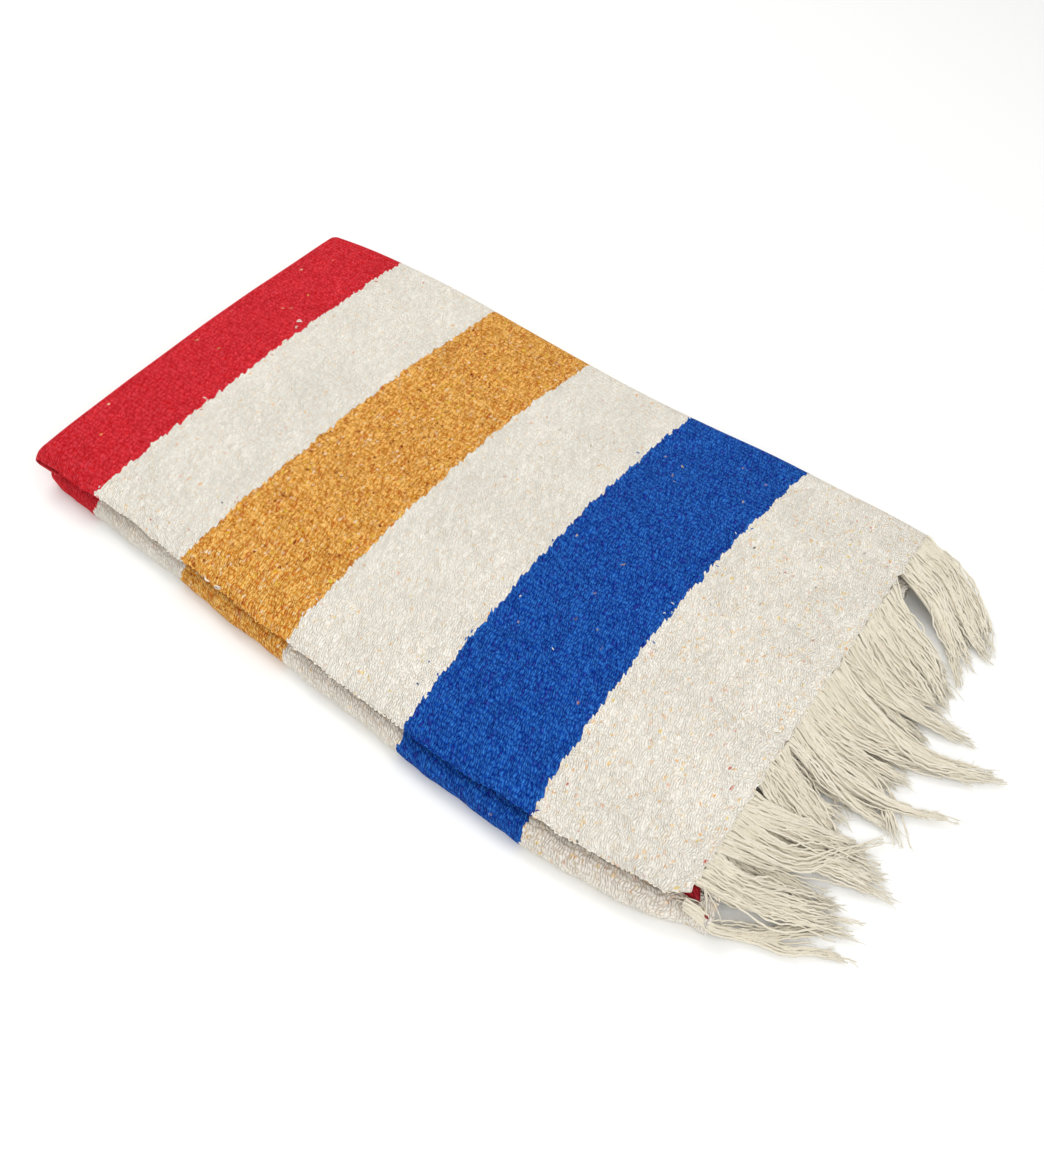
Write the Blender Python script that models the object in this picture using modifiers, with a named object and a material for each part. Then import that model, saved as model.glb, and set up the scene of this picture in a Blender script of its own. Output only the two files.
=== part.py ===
"""Striped cotton blanket, folded in thirds both ways, with its warp fringe at one end.

The blanket is one woven cloth. It is folded in thirds along its length into a
bundle of three layers, and the bundle is folded in thirds across its width. The
outermost layer shows all round: over the top, round the spine at the back,
under the stack and round the spine at the front. The left end is the three
bundles' folds, and the right end is the woven end with its fringe.

Lengths are in metres. X runs along the folded length from the folds to the
fringe, Y from the front spine to the back spine, and Z up from the surface
that the blanket lies on.
"""

import math
import random

import bmesh
import bpy
import numpy as np

COLLECTION_NAME = "folded_striped_blanket"
MM = 0.001

# The cloth and the gaps between its stretches.
CLOTH = 2.4 * MM
SEAM = 0.3 * MM
CORE_GAP = 0.9 * MM
LAYER_GAP = 0.35 * MM

# The folded stack at stations along its length, in millimetres: the front edge
# of the top bundle, the front spine of the two bundles below it, the back
# spine, and the heights of the front edge, of the crown and of the back.
STATION_COLUMNS = ("x", "front", "spine", "back", "front_height", "crown_height", "back_height")
STATIONS = (
    (-322, -186.0, -180.0, 185.0, 30.0, 34.0, 26.0),
    (-290, -185.2, -187.0, 190.0, 31.0, 36.5, 26.8),
    (-240, -184.2, -190.5, 194.5, 31.8, 37.6, 27.0),
    (-180, -187.0, -193.0, 196.5, 32.2, 38.0, 27.0),
    (-105, -192.0, -199.0, 194.0, 32.4, 38.2, 27.0),
    (-40, -196.0, -203.0, 192.0, 32.4, 38.4, 27.0),
    (30, -199.2, -207.0, 191.5, 32.4, 38.2, 27.0),
    (90, -202.0, -211.0, 194.5, 32.2, 38.0, 27.0),
    (150, -200.6, -213.5, 199.0, 31.8, 37.6, 27.0),
    (210, -197.8, -212.0, 200.5, 31.2, 36.6, 26.8),
    (260, -192.7, -206.0, 202.0, 30.4, 35.0, 26.4),
    (300, -186.0, -196.0, 201.0, 29.4, 33.0, 26.0),
)

# The weft stripes, from the left folds to the woven end, in millimetres: where
# each begins on the middle of the top, how far it leans back across the width,
# how far its ends bend towards the fringe, and its colour.
STRIPE_COLUMNS = ("begins", "lean", "bend", "colour")
STRIPES = (
    (-316.0, 0.0, 0.0, "red"),
    (-248.6, 3.0, -1.5, "cream"),
    (-149.5, 8.0, 4.0, "ochre"),
    (-47.2, 6.0, 8.0, "cream"),
    (59.8, 2.0, 9.0, "blue"),
    (168.0, 3.0, 11.0, "cream"),
    (289.0, 0.0, 2.0, "cream"),
)
HALF_WIDTH = 195.0 * MM
COLUMNS_PER_STRIPE = 3

# The rounded forms of the folded cloth.
LIP_DEPTH = 9.0 * MM
LIP_DROP = 8.0 * MM
LIP_START = math.radians(150.0)
CROWN_POWER = 2.2
BACK_SPINE_DEPTH = 13.0 * MM
BACK_SPINE_DEGREES = (90.0, 67.5, 45.0, 22.5, 3.0, 0.0)
FRONT_SPINE_DEPTH = 11.0 * MM
FRONT_SPINE_BUNDLE = 7.6 * MM
TUCK = 12.0 * MM
MIDDLE_SHARE = 0.66
MIDDLE_CROWN_SHARE = 0.35

# The left end: the folds' outermost line and how far their legs run back in.
LEFT_END = -322.8 * MM
LEFT_CORNER = 6.0 * MM
LEFT_CORNER_START = 174.0 * MM
LOWER_LEFT_SETBACK = 14.5 * MM
LOWER_LEFT_SETBACK_REACH = 70.0 * MM
FOLD_REACH = 5.5 * MM
LEG_END = -291.0 * MM
FOLD_STEPS = 6

# The right end: the woven end, its strip of heading, and the red folds inside.
HEADING = 6.0 * MM
STRIP_END_GAP = 0.7 * MM
LOWER_END_EXTRA = 10.0 * MM
FRONT_END_EXTRA = 11.0 * MM
FRONT_EXTRA_REACH = 60.0 * MM
CORNER_BACK = 8.0 * MM
CORNER_BACK_START = 274.0 * MM
CORNER_BACK_REACH = 22.0 * MM
LIP_SHARE_OF_TOP = 0.12
SPINE_CORNER_SHARE = 0.5
SPINE_CORNER_DELAY = 6.0 * MM
CORE_RIGHT = 268.0 * MM
INNER_FOLD_END = 285.0 * MM
INNER_CORNER_EXTRA = 8.0 * MM
INNER_CORNER_REACH = 30.0 * MM
INNER_CORNER_SHARE = 0.55
ROLL_END_INSET = 2.0 * MM
ROLL_ROWS = 10

# The hidden layers' edges, as ridges under the top bundle's lip.
EDGE_RECESS = 3.6 * MM
EDGE_RIDGE = 1.2 * MM
EDGE_HEADROOM = 0.4 * MM
EDGE_CORNER_RECESS = 2.4 * MM
EDGE_CORNER_START = 236.0 * MM
EDGE_CORNER_REACH = 32.0 * MM
EDGE_CORNER_ROWS = 7

# The fringe's lanes and locks.
LANE_PITCH = 9.4 * MM
LANES = 40
LANE_SHIFT = 4.0 * MM
LOCK_WIDTH = 4.5 * MM
BEND_CLEARANCE = 2.0 * MM
FRINGE_SEED = 7
WANDER = 0.35 * MM
WANDER_WAVES = 0.8
TIP_TAPER = 0.42
TAPER_POWER = 1.5
FAN_START = 285.0 * MM
FAN_LENGTH = 100.0 * MM
FAN_POWER = 1.3
FAN_CLOSING = 0.19
FAN_SHIFT = -10.0 * MM
TOP_CORNER_OFFSET = 13.0 * MM
UNDERSIDE_CORNER_OFFSET = 30.0 * MM

# The habits of each kind of lock, in millimetres: how far it reaches past the
# woven end (the top fringe has its own table for that), how high its tip rests,
# and how far out it lands; and its number of segments.
LOCK_COLUMNS = ("kind", "reach", "rest", "land", "segments")
LOCK_KINDS = (
    ("top", 0, 2.3, 72, 6),
    ("top_corner", 84, 2.3, 60, 6),
    ("middle", 76, 2.3, 52, 5),
    ("underside", 62, 2.3, 20, 4),
    ("underside_corner", 118, 3.3, 50, 6),
)

# How far the locks of the top fringe reach past the woven end, along its width,
# in millimetres.
REACH_COLUMNS = ("y", "reach")
REACHES = (
    (-190, 78),
    (-165, 108),
    (-120, 112),
    (-60, 106),
    (-20, 121),
    (40, 126),
    (80, 98),
    (130, 88),
    (170, 96),
    (200, 92),
)

COLOURS = {
    "red": "#CE323B",
    "cream": "#E6DFD3",
    "ochre": "#D8A04C",
    "blue": "#2053A2",
    "fringe": "#DDD5C0",
}
COTTON_ROUGHNESS = 0.92


def srgb_to_linear(hex_colour):
    """Linear RGBA of an sRGB hex colour."""
    channels = [int(hex_colour[i:i + 2], 16) / 255.0 for i in (1, 3, 5)]
    linear = [c / 12.92 if c <= 0.04045 else ((c + 0.055) / 1.055) ** 2.4 for c in channels]
    return (*linear, 1.0)


def make_materials():
    """One plain cotton material for each colour of yarn."""
    materials = {}
    for name, hex_colour in COLOURS.items():
        material = bpy.data.materials.new(name + "_cotton")
        material.use_nodes = True
        shader = material.node_tree.nodes["Principled BSDF"]
        shader.inputs["Base Color"].default_value = srgb_to_linear(hex_colour)
        shader.inputs["Roughness"].default_value = COTTON_ROUGHNESS
        shader.inputs["Metallic"].default_value = 0.0
        materials[name] = material
    return materials


def column(rows, columns, name):
    """One named column of a table, as an array."""
    return np.array([row[columns.index(name)] for row in rows], dtype=float)


def smooth_curve(at, xs, ys):
    """Value at a place on a smooth curve through points with rising xs."""
    slopes = np.gradient(ys, xs)
    at = min(max(at, xs[0]), xs[-1])
    i = min(int(np.searchsorted(xs, at, side="right")) - 1, len(xs) - 2)
    span = xs[i + 1] - xs[i]
    t = (at - xs[i]) / span
    return float(
        (2 * t**3 - 3 * t**2 + 1) * ys[i] + (t**3 - 2 * t**2 + t) * span * slopes[i]
        + (3 * t**2 - 2 * t**3) * ys[i + 1] + (t**3 - t**2) * span * slopes[i + 1]
    )


def ease(t):
    """0 to 1 with level ends."""
    t = min(max(t, 0.0), 1.0)
    return t * t * (3.0 - 2.0 * t)


def station(x):
    """The stack's sizes at one place along its length, in metres."""
    xs = column(STATIONS, STATION_COLUMNS, "x") * MM
    return {
        name: smooth_curve(x, xs, column(STATIONS, STATION_COLUMNS, name) * MM)
        for name in STATION_COLUMNS[1:]
    }


def top_edges(size):
    """Where the nearly flat top begins and ends across the width."""
    lip_top = size["front"] - LIP_DEPTH * math.cos(LIP_START)
    return lip_top, size["back"] - BACK_SPINE_DEPTH


def top_height(size, y):
    """Height of the outer cloth over the stack, past the lip."""
    first, last = top_edges(size)
    t = min(max((y - first) / (last - first), 0.0), 1.0)
    edge = size["front_height"] + (size["back_height"] - size["front_height"]) * t
    bump = size["crown_height"] - 0.5 * (size["front_height"] + size["back_height"])
    return edge + bump * (1.0 - abs(2.0 * t - 1.0) ** CROWN_POWER)


def middle_height(size, y):
    """Height of the upper face of the two lower bundles."""
    first, last = top_edges(size)
    t = min(max((y - first) / (last - first), 0.0), 1.0)
    edge = size["front_height"] + (size["back_height"] - size["front_height"]) * t
    bump = top_height(size, y) - edge
    return MIDDLE_SHARE * edge + MIDDLE_CROWN_SHARE * bump


def lower_height(size, y):
    """Height of the face between the two lower bundles."""
    return 0.5 * middle_height(size, y)


def drawn_back(x):
    """How far the front edge of the top is drawn back beside the woven end."""
    return CORNER_BACK * ease((x - CORNER_BACK_START) / CORNER_BACK_REACH)


def top_path(x, top_rows=12, lip_rows=4):
    """Section of the top stretch at x, from its front edge to the middle of the back spine.

    Each entry is y, z, the direction into the bundle, and the bundle's depth.
    """
    size = station(x)
    first, last = top_edges(size)
    path = []
    for k in range(lip_rows):
        angle = LIP_START + (math.radians(90.0) - LIP_START) * k / lip_rows
        y = size["front"] + LIP_DEPTH * (math.cos(angle) - math.cos(LIP_START)) + drawn_back(x)
        z = size["front_height"] - LIP_DROP * (1.0 - math.sin(angle))
        path.append((y, z, 0.0, -1.0, z - middle_height(size, y) - LAYER_GAP))
    for k in range(top_rows):
        t = k / top_rows
        y = first + (last - first) * t + drawn_back(x) * (1.0 - ease(t / LIP_SHARE_OF_TOP))
        z = top_height(size, y)
        path.append((y, z, 0.0, -1.0, z - middle_height(size, y) - LAYER_GAP))
    half = 0.5 * size["back_height"]
    bundle = size["back_height"] - middle_height(size, last) - LAYER_GAP
    for degrees in BACK_SPINE_DEGREES:
        angle = math.radians(degrees)
        y = last + BACK_SPINE_DEPTH * math.cos(angle)
        z = half + half * math.sin(angle)
        path.append((y, z, -math.cos(angle), -math.sin(angle), bundle))
    return path


def lower_path(x, bottom_rows=6, front_rows=8, tuck_rows=2):
    """Section of the underside stretch at x.

    It runs from the middle of the back spine under the stack, round the front
    spine, and a short way in between the bundles.
    """
    size = station(x)
    last = size["back"] - BACK_SPINE_DEPTH
    half = 0.5 * size["back_height"]
    seam_angle = SEAM / half
    path = []
    for degrees in BACK_SPINE_DEGREES[:0:-1]:
        turn = math.radians(degrees)
        angle = -turn - seam_angle
        y = last + BACK_SPINE_DEPTH * math.cos(angle)
        z = half + half * math.sin(angle)
        path.append((y, z, -math.cos(turn), math.sin(turn), lower_height(size, last) - 0.5 * SEAM))
    near = size["spine"] + FRONT_SPINE_DEPTH
    for k in range(bottom_rows):
        y = last + (near - last) * k / bottom_rows
        path.append((y, 0.0, 0.0, 1.0, lower_height(size, y) - 0.5 * SEAM))
    height = middle_height(size, near)
    flat_bundle = lower_height(size, near) - 0.5 * SEAM
    for k in range(front_rows + 1):
        angle = math.radians(-90.0 - 180.0 * k / front_rows)
        corner = SPINE_CORNER_SHARE * drawn_back(x - SPINE_CORNER_DELAY) * math.cos(angle) ** 2
        y = near + FRONT_SPINE_DEPTH * math.cos(angle) + corner
        z = 0.5 * height * (1.0 + math.sin(angle))
        bundle = flat_bundle + (FRONT_SPINE_BUNDLE - flat_bundle) * math.cos(angle) ** 2
        path.append((y, z, -math.cos(angle), -math.sin(angle), bundle))
    tuck_end = max(size["front"], size["spine"]) + TUCK
    for k in range(1, tuck_rows + 1):
        y = near + (tuck_end - near) * k / tuck_rows
        path.append((y, middle_height(size, y), 0.0, -1.0, lower_height(size, y) - 0.5 * SEAM))
    return path


def left_line(y, lower):
    """The folds' outermost x, for the top bundle or for the two below it."""
    corner = LEFT_CORNER * ease((abs(y) - LEFT_CORNER_START) / (HALF_WIDTH - LEFT_CORNER_START))
    if not lower:
        return LEFT_END + corner
    setback = 1.0 - ease((y + HALF_WIDTH) / LOWER_LEFT_SETBACK_REACH)
    return LEFT_END + corner + LOWER_LEFT_SETBACK * setback


def stripe_line(index, y, lower):
    """Where the line that begins a stripe crosses a given y."""
    row = dict(zip(STRIPE_COLUMNS, STRIPES[index]))
    across = min(max(y / HALF_WIDTH, -1.05), 1.05)
    if index == 0:
        return left_line(y, lower) + FOLD_REACH
    x = (row["begins"] + row["lean"] * across + row["bend"] * across**2) * MM
    if index == len(STRIPES) - 1:
        x += lower_end_extra(y) if lower else 0.0
    return x


def lower_end_extra(y):
    """How much further the lower bundles' woven end reaches, most at the front corner."""
    return LOWER_END_EXTRA + FRONT_END_EXTRA * (1.0 - ease((y + HALF_WIDTH) / FRONT_EXTRA_REACH))


def place(index, fraction, y, lower):
    """x of a point between the lines that begin two stripes."""
    near = stripe_line(index, y, lower)
    far = stripe_line(index + 1, y, lower)
    if index == len(STRIPES) - 2:
        far -= HEADING + SEAM
    return near + (far - near) * fraction


def cloth_grid(path_at, lower):
    """Outer points of one stretch, row by row along its section, column by column in x.

    The first columns are the fold at the left end, seen from inside the fold.
    Every row also names the stripe of each column.
    """
    rows = len(path_at(0.0))
    grid = []
    stripes = [0] * (FOLD_STEPS + 1)
    for r in range(rows):
        start = left_line(path_at(LEFT_END)[r][0], lower)
        y, z, inward_y, inward_z, bundle = path_at(start + FOLD_REACH)[r]
        leg_y, leg_z, leg_inward_y, leg_inward_z, leg_bundle = path_at(LEG_END)[r]
        line = [(LEG_END, leg_y + leg_inward_y * leg_bundle, leg_z + leg_inward_z * leg_bundle)]
        for k in range(FOLD_STEPS):
            turn = math.pi * (1.0 - k / FOLD_STEPS)
            depth = 0.5 * bundle * (1.0 - math.cos(turn))
            x = start + FOLD_REACH * (1.0 - math.sin(turn))
            line.append((x, y + inward_y * depth, z + inward_z * depth))
        for index in range(len(STRIPES) - 1):
            steps = COLUMNS_PER_STRIPE
            count = steps + 1 if index == len(STRIPES) - 2 else steps
            for k in range(count):
                guess = place(index, k / steps, y, lower)
                row_y, row_z = path_at(guess)[r][:2]
                line.append((place(index, k / steps, row_y, lower), row_y, row_z))
                if r == 0 and (index, k) != (len(STRIPES) - 2, steps):
                    stripes.append(index)
        grid.append(line)
    return grid, stripes


def new_object(name, mesh, materials, collection):
    """Object with its materials, in the blanket's collection."""
    blanket_object = bpy.data.objects.new(name, mesh)
    for material in materials:
        mesh.materials.append(material)
    collection.objects.link(blanket_object)
    return blanket_object


def loft(name, grid, face_slots, materials, collection):
    """Open surface through a grid of points, with a material slot for each column of faces."""
    surface = bmesh.new()
    points = [[surface.verts.new(p) for p in line] for line in grid]
    for r in range(len(points) - 1):
        for c in range(len(points[0]) - 1):
            corners = (points[r][c], points[r][c + 1], points[r + 1][c + 1], points[r + 1][c])
            face = surface.faces.new(corners)
            face.material_index = face_slots[c]
            face.smooth = True
    mesh = bpy.data.meshes.new(name)
    surface.to_mesh(mesh)
    surface.free()
    return new_object(name, mesh, materials, collection)


def add_wall(cloth_object, thickness, side):
    """Give an open surface its wall, towards the inner side of its faces."""
    wall = cloth_object.modifiers.new("wall", "SOLIDIFY")
    wall.thickness = thickness
    wall.offset = side
    wall.use_even_offset = False
    wall.use_rim = True


def cloth_stretch(name, path_at, lower, palette, collection):
    """One stretch of the outer cloth, with the fold at its left end."""
    grid, stripes = cloth_grid(path_at, lower)
    names = [row[STRIPE_COLUMNS.index("colour")] for row in STRIPES]
    slots = sorted(set(names))
    face_slots = [slots.index(names[index]) for index in stripes]
    materials = [palette[name] for name in slots]
    stretch = loft(name, grid, face_slots, materials, collection)
    add_wall(stretch, CLOTH, -1.0)
    return stretch


def offset_section(path, distance):
    """The section moved inwards by a distance, square to itself."""
    points = np.array([entry[:2] for entry in path])
    along = np.gradient(points, axis=0)
    along /= np.linalg.norm(along, axis=1)[:, None]
    inward = np.stack([along[:, 1], -along[:, 0]], axis=1)
    return points + inward * distance


def edge_corner(x):
    """How much further back the hidden layers' front edge lies near the woven end."""
    return EDGE_CORNER_RECESS * ease((x - EDGE_CORNER_START) / EDGE_CORNER_REACH)


def layered_edge(size, base, top, corner, layers=2, ridge_points=4):
    """The edges of the layers under the top bundle's lip, as rounded ridges going up."""
    edge = []
    for layer in range(layers):
        low = base + (top - base) * layer / layers
        high = base + (top - base) * (layer + 1) / layers
        for k in range(ridge_points):
            turn = math.pi * (k + 0.5) / ridge_points
            recess = EDGE_RECESS - EDGE_RIDGE * math.sin(turn)
            edge.append((size["front"] + recess + corner, low + (high - low) * (k + 0.5) / ridge_points))
    return edge


def core_section(x):
    """Closed section of the hidden layers at x, inside the outer cloth."""
    size = station(x)
    inset = CLOTH + CORE_GAP
    corner = edge_corner(x)
    upper = offset_section(top_path(x), inset)
    for k in range(EDGE_CORNER_ROWS):
        upper[k][0] += corner * (1.0 - k / EDGE_CORNER_ROWS)
    under = offset_section(lower_path(x), inset)[1:]
    tuck_y = lower_path(x)[-1][0] + CORE_GAP
    under[-1][0] = tuck_y
    notch_base = middle_height(size, tuck_y) + LAYER_GAP
    front_base = middle_height(size, size["front"]) + LAYER_GAP + CORE_GAP
    section = [tuple(p) for p in upper] + [tuple(p) for p in under]
    section.append((tuck_y, notch_base))
    section += layered_edge(size, front_base, upper[0][1] - EDGE_HEADROOM, corner)
    return section


def inner_layers(palette, collection, stations=14):
    """The hidden layers as one rounded solid, layered along its front edge."""
    body = bmesh.new()
    rings = []
    start = LEG_END + CORE_GAP
    for k in range(stations):
        x = start + (CORE_RIGHT - start) * k / (stations - 1)
        rings.append([body.verts.new((x, y, z)) for y, z in core_section(x)])
    count = len(rings[0])
    for near, far in zip(rings, rings[1:]):
        for k in range(count):
            after = (k + 1) % count
            face = body.faces.new((near[k], near[after], far[after], far[k]))
            face.smooth = True
    body.faces.new(rings[0])
    body.faces.new(rings[-1])
    bmesh.ops.recalc_face_normals(body, faces=body.faces[:])
    bmesh.ops.triangulate(body, faces=[face for face in body.faces if len(face.verts) > 4])
    mesh = bpy.data.meshes.new("inner_layers")
    body.to_mesh(mesh)
    body.free()
    return new_object("inner_layers", mesh, [palette["cream"]], collection)


def fold_roll(name, extreme, leg, span, heights, palette, collection, steps=8):
    """A fold seen at one end of the stack: a half pipe of cloth with two short legs.

    extreme gives the fold's outermost x at a y, leg is where its legs end, span
    is its first and last y, and heights gives its lowest and highest z for the
    stack's sizes at an x and a y.
    """
    side = 1.0 if leg < extreme(span[0]) else -1.0
    grid = []
    for r in range(ROLL_ROWS + 1):
        y = span[0] + (span[1] - span[0]) * r / ROLL_ROWS
        leg_low, leg_high = heights(station(leg), y)
        low, high = heights(station(extreme(y) - side * FOLD_REACH), y)
        middle, radius = 0.5 * (low + high), 0.5 * (high - low)
        reach = min(radius, FOLD_REACH)
        line = [(leg, y, leg_high)]
        for k in range(steps + 1):
            turn = math.pi * k / steps
            x = extreme(y) - side * reach * (1.0 - math.sin(turn))
            line.append((x, y, middle + radius * math.cos(turn)))
        line.append((leg, y, leg_low))
        grid.append(line)
    if side < 0.0:
        grid = [line[::-1] for line in grid]
    roll = loft(name, grid, [0] * (len(grid[0]) - 1), [palette["red"]], collection)
    add_wall(roll, CLOTH, -1.0)
    return roll


def middle_fold(palette, collection):
    """The middle bundle's fold at the left end, between the other two."""
    size = station(LEFT_END)
    first = max(size["front"], size["spine"]) + TUCK + SEAM
    last = size["back"] - BACK_SPINE_DEPTH - ROLL_END_INSET

    def heights(at, y):
        return lower_height(at, y) + 0.5 * SEAM, middle_height(at, y)

    return fold_roll("middle_fold", lambda y: left_line(y, True), LEG_END, (first, last),
                     heights, palette, collection)


def inner_folds(palette, collection):
    """The three red folds that lie inside the woven end, one in each bundle."""
    size = station(INNER_FOLD_END)
    last = size["back"] - BACK_SPINE_DEPTH - ROLL_END_INSET
    inset = CLOTH + CORE_GAP

    def corner_reach(y):
        near_corner = 1.0 - ease((y + HALF_WIDTH) / INNER_CORNER_REACH)
        return INNER_FOLD_END + INNER_CORNER_EXTRA * near_corner

    def top_fold(at, y):
        return middle_height(at, y) + LAYER_GAP, top_height(at, y) - inset

    def mid_fold(at, y):
        return lower_height(at, y) + 0.5 * SEAM, middle_height(at, y) - inset

    def low_fold(at, y):
        return inset, lower_height(at, y) - 0.5 * SEAM

    first_top = top_edges(size)[0] + INNER_CORNER_SHARE * CORNER_BACK
    first_low = size["spine"] + FRONT_SPINE_DEPTH
    leg = CORE_RIGHT + CORE_GAP
    for name, first, heights in (
        ("upper_inner_fold", first_top, top_fold),
        ("middle_inner_fold", first_low, mid_fold),
        ("lower_inner_fold", first_low, low_fold),
    ):
        fold_roll(name, corner_reach, leg, (first, last), heights, palette, collection)


def fan_y(x, y_root):
    """Where a lane that starts at y_root lies at x: the lanes close in slightly."""
    along = max(x - FAN_START, 0.0) / FAN_LENGTH
    spread = along**FAN_POWER
    return y_root * (1.0 - FAN_CLOSING * spread) + FAN_SHIFT * spread


def reach_at(y):
    """How far a lock of the top fringe reaches past the woven end."""
    ys = column(REACHES, REACH_COLUMNS, "y") * MM
    return smooth_curve(y, ys, column(REACHES, REACH_COLUMNS, "reach") * MM)


def strip_rows(path, places):
    """Points and inward directions on a section's polyline at the given lengths along it."""
    points = np.array([entry[:2] for entry in path])
    steps = np.linalg.norm(np.diff(points, axis=0), axis=1)
    along = np.concatenate([[0.0], np.cumsum(steps)])
    rows = []
    for place_along in places:
        y = float(np.interp(place_along, along, points[:, 0]))
        z = float(np.interp(place_along, along, points[:, 1]))
        i = min(int(np.searchsorted(along, place_along, side="right")) - 1, len(steps) - 1)
        tangent = (points[i + 1] - points[i]) / steps[i]
        rows.append((y, z, float(tangent[1]), float(-tangent[0])))
    return rows, along


def length_at_y(path, y, first, last):
    """Length along a section where it crosses a given y, between two of its entries."""
    points = np.array([entry[:2] for entry in path])
    steps = np.linalg.norm(np.diff(points, axis=0), axis=1)
    along = np.concatenate([[0.0], np.cumsum(steps)])
    ys = points[first:last, 0]
    lengths = along[first:last]
    if ys[0] > ys[-1]:
        ys, lengths = ys[::-1], lengths[::-1]
    return float(np.interp(y, ys, lengths))


def grow_lock(body, face, reach, rest, land, wander, segments):
    """Extrude one lock out of its root face and let it droop to the floor."""
    corners = [v.co.copy() for v in face.verts]
    root = sum(corners, corners[0] * 0.0) / 4.0
    offsets = [c - root for c in corners]
    for k in range(1, segments + 1):
        t = k / segments
        along = reach * t
        x = root.x + along
        drop = ease(along / land)
        z = root.z + (rest - root.z) * drop
        y = fan_y(x, root.y) + wander * math.sin(2.0 * math.pi * WANDER_WAVES * t)
        taper = 1.0 + (TIP_TAPER - 1.0) * t**TAPER_POWER
        made = bmesh.ops.extrude_discrete_faces(body, faces=[face])
        face = made["faces"][0]
        for vertex, offset in zip(face.verts, offsets):
            vertex.co = (x, y + offset.y * taper, z + offset.z * taper)


def fringe(name, path, end_at, locks, palette, collection):
    """A strip of heading with its locks: a node of its own, parted from the cloth's end.

    path is the section along the woven end, end_at gives the strip's outer x at
    a y, and locks lists each lock's middle along the section and its habits.
    """
    places = [STRIP_END_GAP]
    for lock in locks:
        places += [lock["along"] - 0.5 * LOCK_WIDTH, lock["along"] + 0.5 * LOCK_WIDTH]
    _, along = strip_rows(path, [0.0])
    places.append(float(along[-1]) - STRIP_END_GAP)
    bends = [length for length in along[1:-1]
             if min(abs(length - other) for other in places) > BEND_CLEARANCE
             and not any(abs(length - lock["along"]) < 0.5 * LOCK_WIDTH for lock in locks)]
    places = sorted(places + [float(length) for length in bends])
    rows, _ = strip_rows(path, places)
    ends = np.interp(places, along, [end_at(entry[0]) for entry in path])
    body = bmesh.new()
    rings = []
    for (y, z, inward_y, inward_z), end in zip(rows, ends):
        inner_y, inner_z = y + inward_y * CLOTH, z + inward_z * CLOTH
        rings.append([body.verts.new(p) for p in (
            (end - HEADING, y, z), (end, y, z), (end, inner_y, inner_z), (end - HEADING, inner_y, inner_z))])
    roots = {}
    for r, (near, far) in enumerate(zip(rings, rings[1:])):
        for k in range(4):
            after = (k + 1) % 4
            face = body.faces.new((near[k], near[after], far[after], far[k]))
            if k == 1:
                roots[r] = face
    body.faces.new(rings[0])
    body.faces.new(rings[-1])
    bmesh.ops.recalc_face_normals(body, faces=body.faces[:])
    for lock in locks:
        row = places.index(lock["along"] - 0.5 * LOCK_WIDTH)
        grow_lock(body, roots[row], lock["reach"], lock["rest"], lock["land"], lock["wander"],
                  lock["segments"])
    mesh = bpy.data.meshes.new(name)
    body.to_mesh(mesh)
    body.free()
    return new_object(name, mesh, [palette["fringe"]], collection)


def lane_y(lane):
    """Root y of a lane, counted from the front."""
    return (lane - 0.5 * (LANES - 1)) * LANE_PITCH + LANE_SHIFT


def lock_habits(rng, kind, reach=None):
    """A lock's own length, rest height, landing and wander, from its kind's row."""
    row = {entry[0]: dict(zip(LOCK_COLUMNS, entry)) for entry in LOCK_KINDS}[kind]
    reach = row["reach"] * MM if reach is None else reach
    return {
        "reach": reach * rng.uniform(0.9, 1.04),
        "rest": row["rest"] * MM,
        "land": row["land"] * MM * rng.uniform(0.92, 1.08),
        "wander": rng.uniform(-WANDER, WANDER),
        "segments": row["segments"],
    }


def top_fringe(palette, collection):
    """The fringe of the outer layer's woven end on the top bundle."""
    rng = random.Random(FRINGE_SEED)
    end_x = STRIPES[-1][0] * MM
    lip_rows = 4
    path = top_path(end_x, lip_rows=lip_rows)
    first_flat, last_flat = lip_rows, len(path) - len(BACK_SPINE_DEGREES) + 1
    locks = []
    for lane in range(LANES):
        y = lane_y(lane)
        lock = lock_habits(rng, "top", reach_at(y))
        lock["along"] = length_at_y(path, y, first_flat, last_flat)
        locks.append(lock)
    corner = lock_habits(rng, "top_corner")
    corner["along"] = locks[-1]["along"] + TOP_CORNER_OFFSET
    locks.append(corner)
    return fringe("top_fringe", path, lambda y: stripe_line(len(STRIPES) - 1, y, False), locks,
                  palette, collection)


def middle_fringe(palette, collection):
    """The fringe of the middle bundle's woven end, under the top one."""
    rng = random.Random(FRINGE_SEED + 1)
    end_x = STRIPES[-1][0] * MM + LOWER_END_EXTRA
    size = station(end_x)
    first = max(size["front"], size["spine"]) + TUCK + SEAM
    last = size["back"] - BACK_SPINE_DEPTH - ROLL_END_INSET
    steps = 12
    path = []
    for k in range(steps + 1):
        y = first + (last - first) * k / steps
        path.append((y, middle_height(size, y)))
    locks = []
    for lane in range(2, LANES - 1, 2):
        y = lane_y(lane) + 0.5 * LANE_PITCH
        lock = lock_habits(rng, "middle")
        lock["along"] = length_at_y(path, y, 0, len(path))
        locks.append(lock)
    return fringe("middle_fringe", path, lambda y: stripe_line(len(STRIPES) - 1, y, True), locks,
                  palette, collection)


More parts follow.
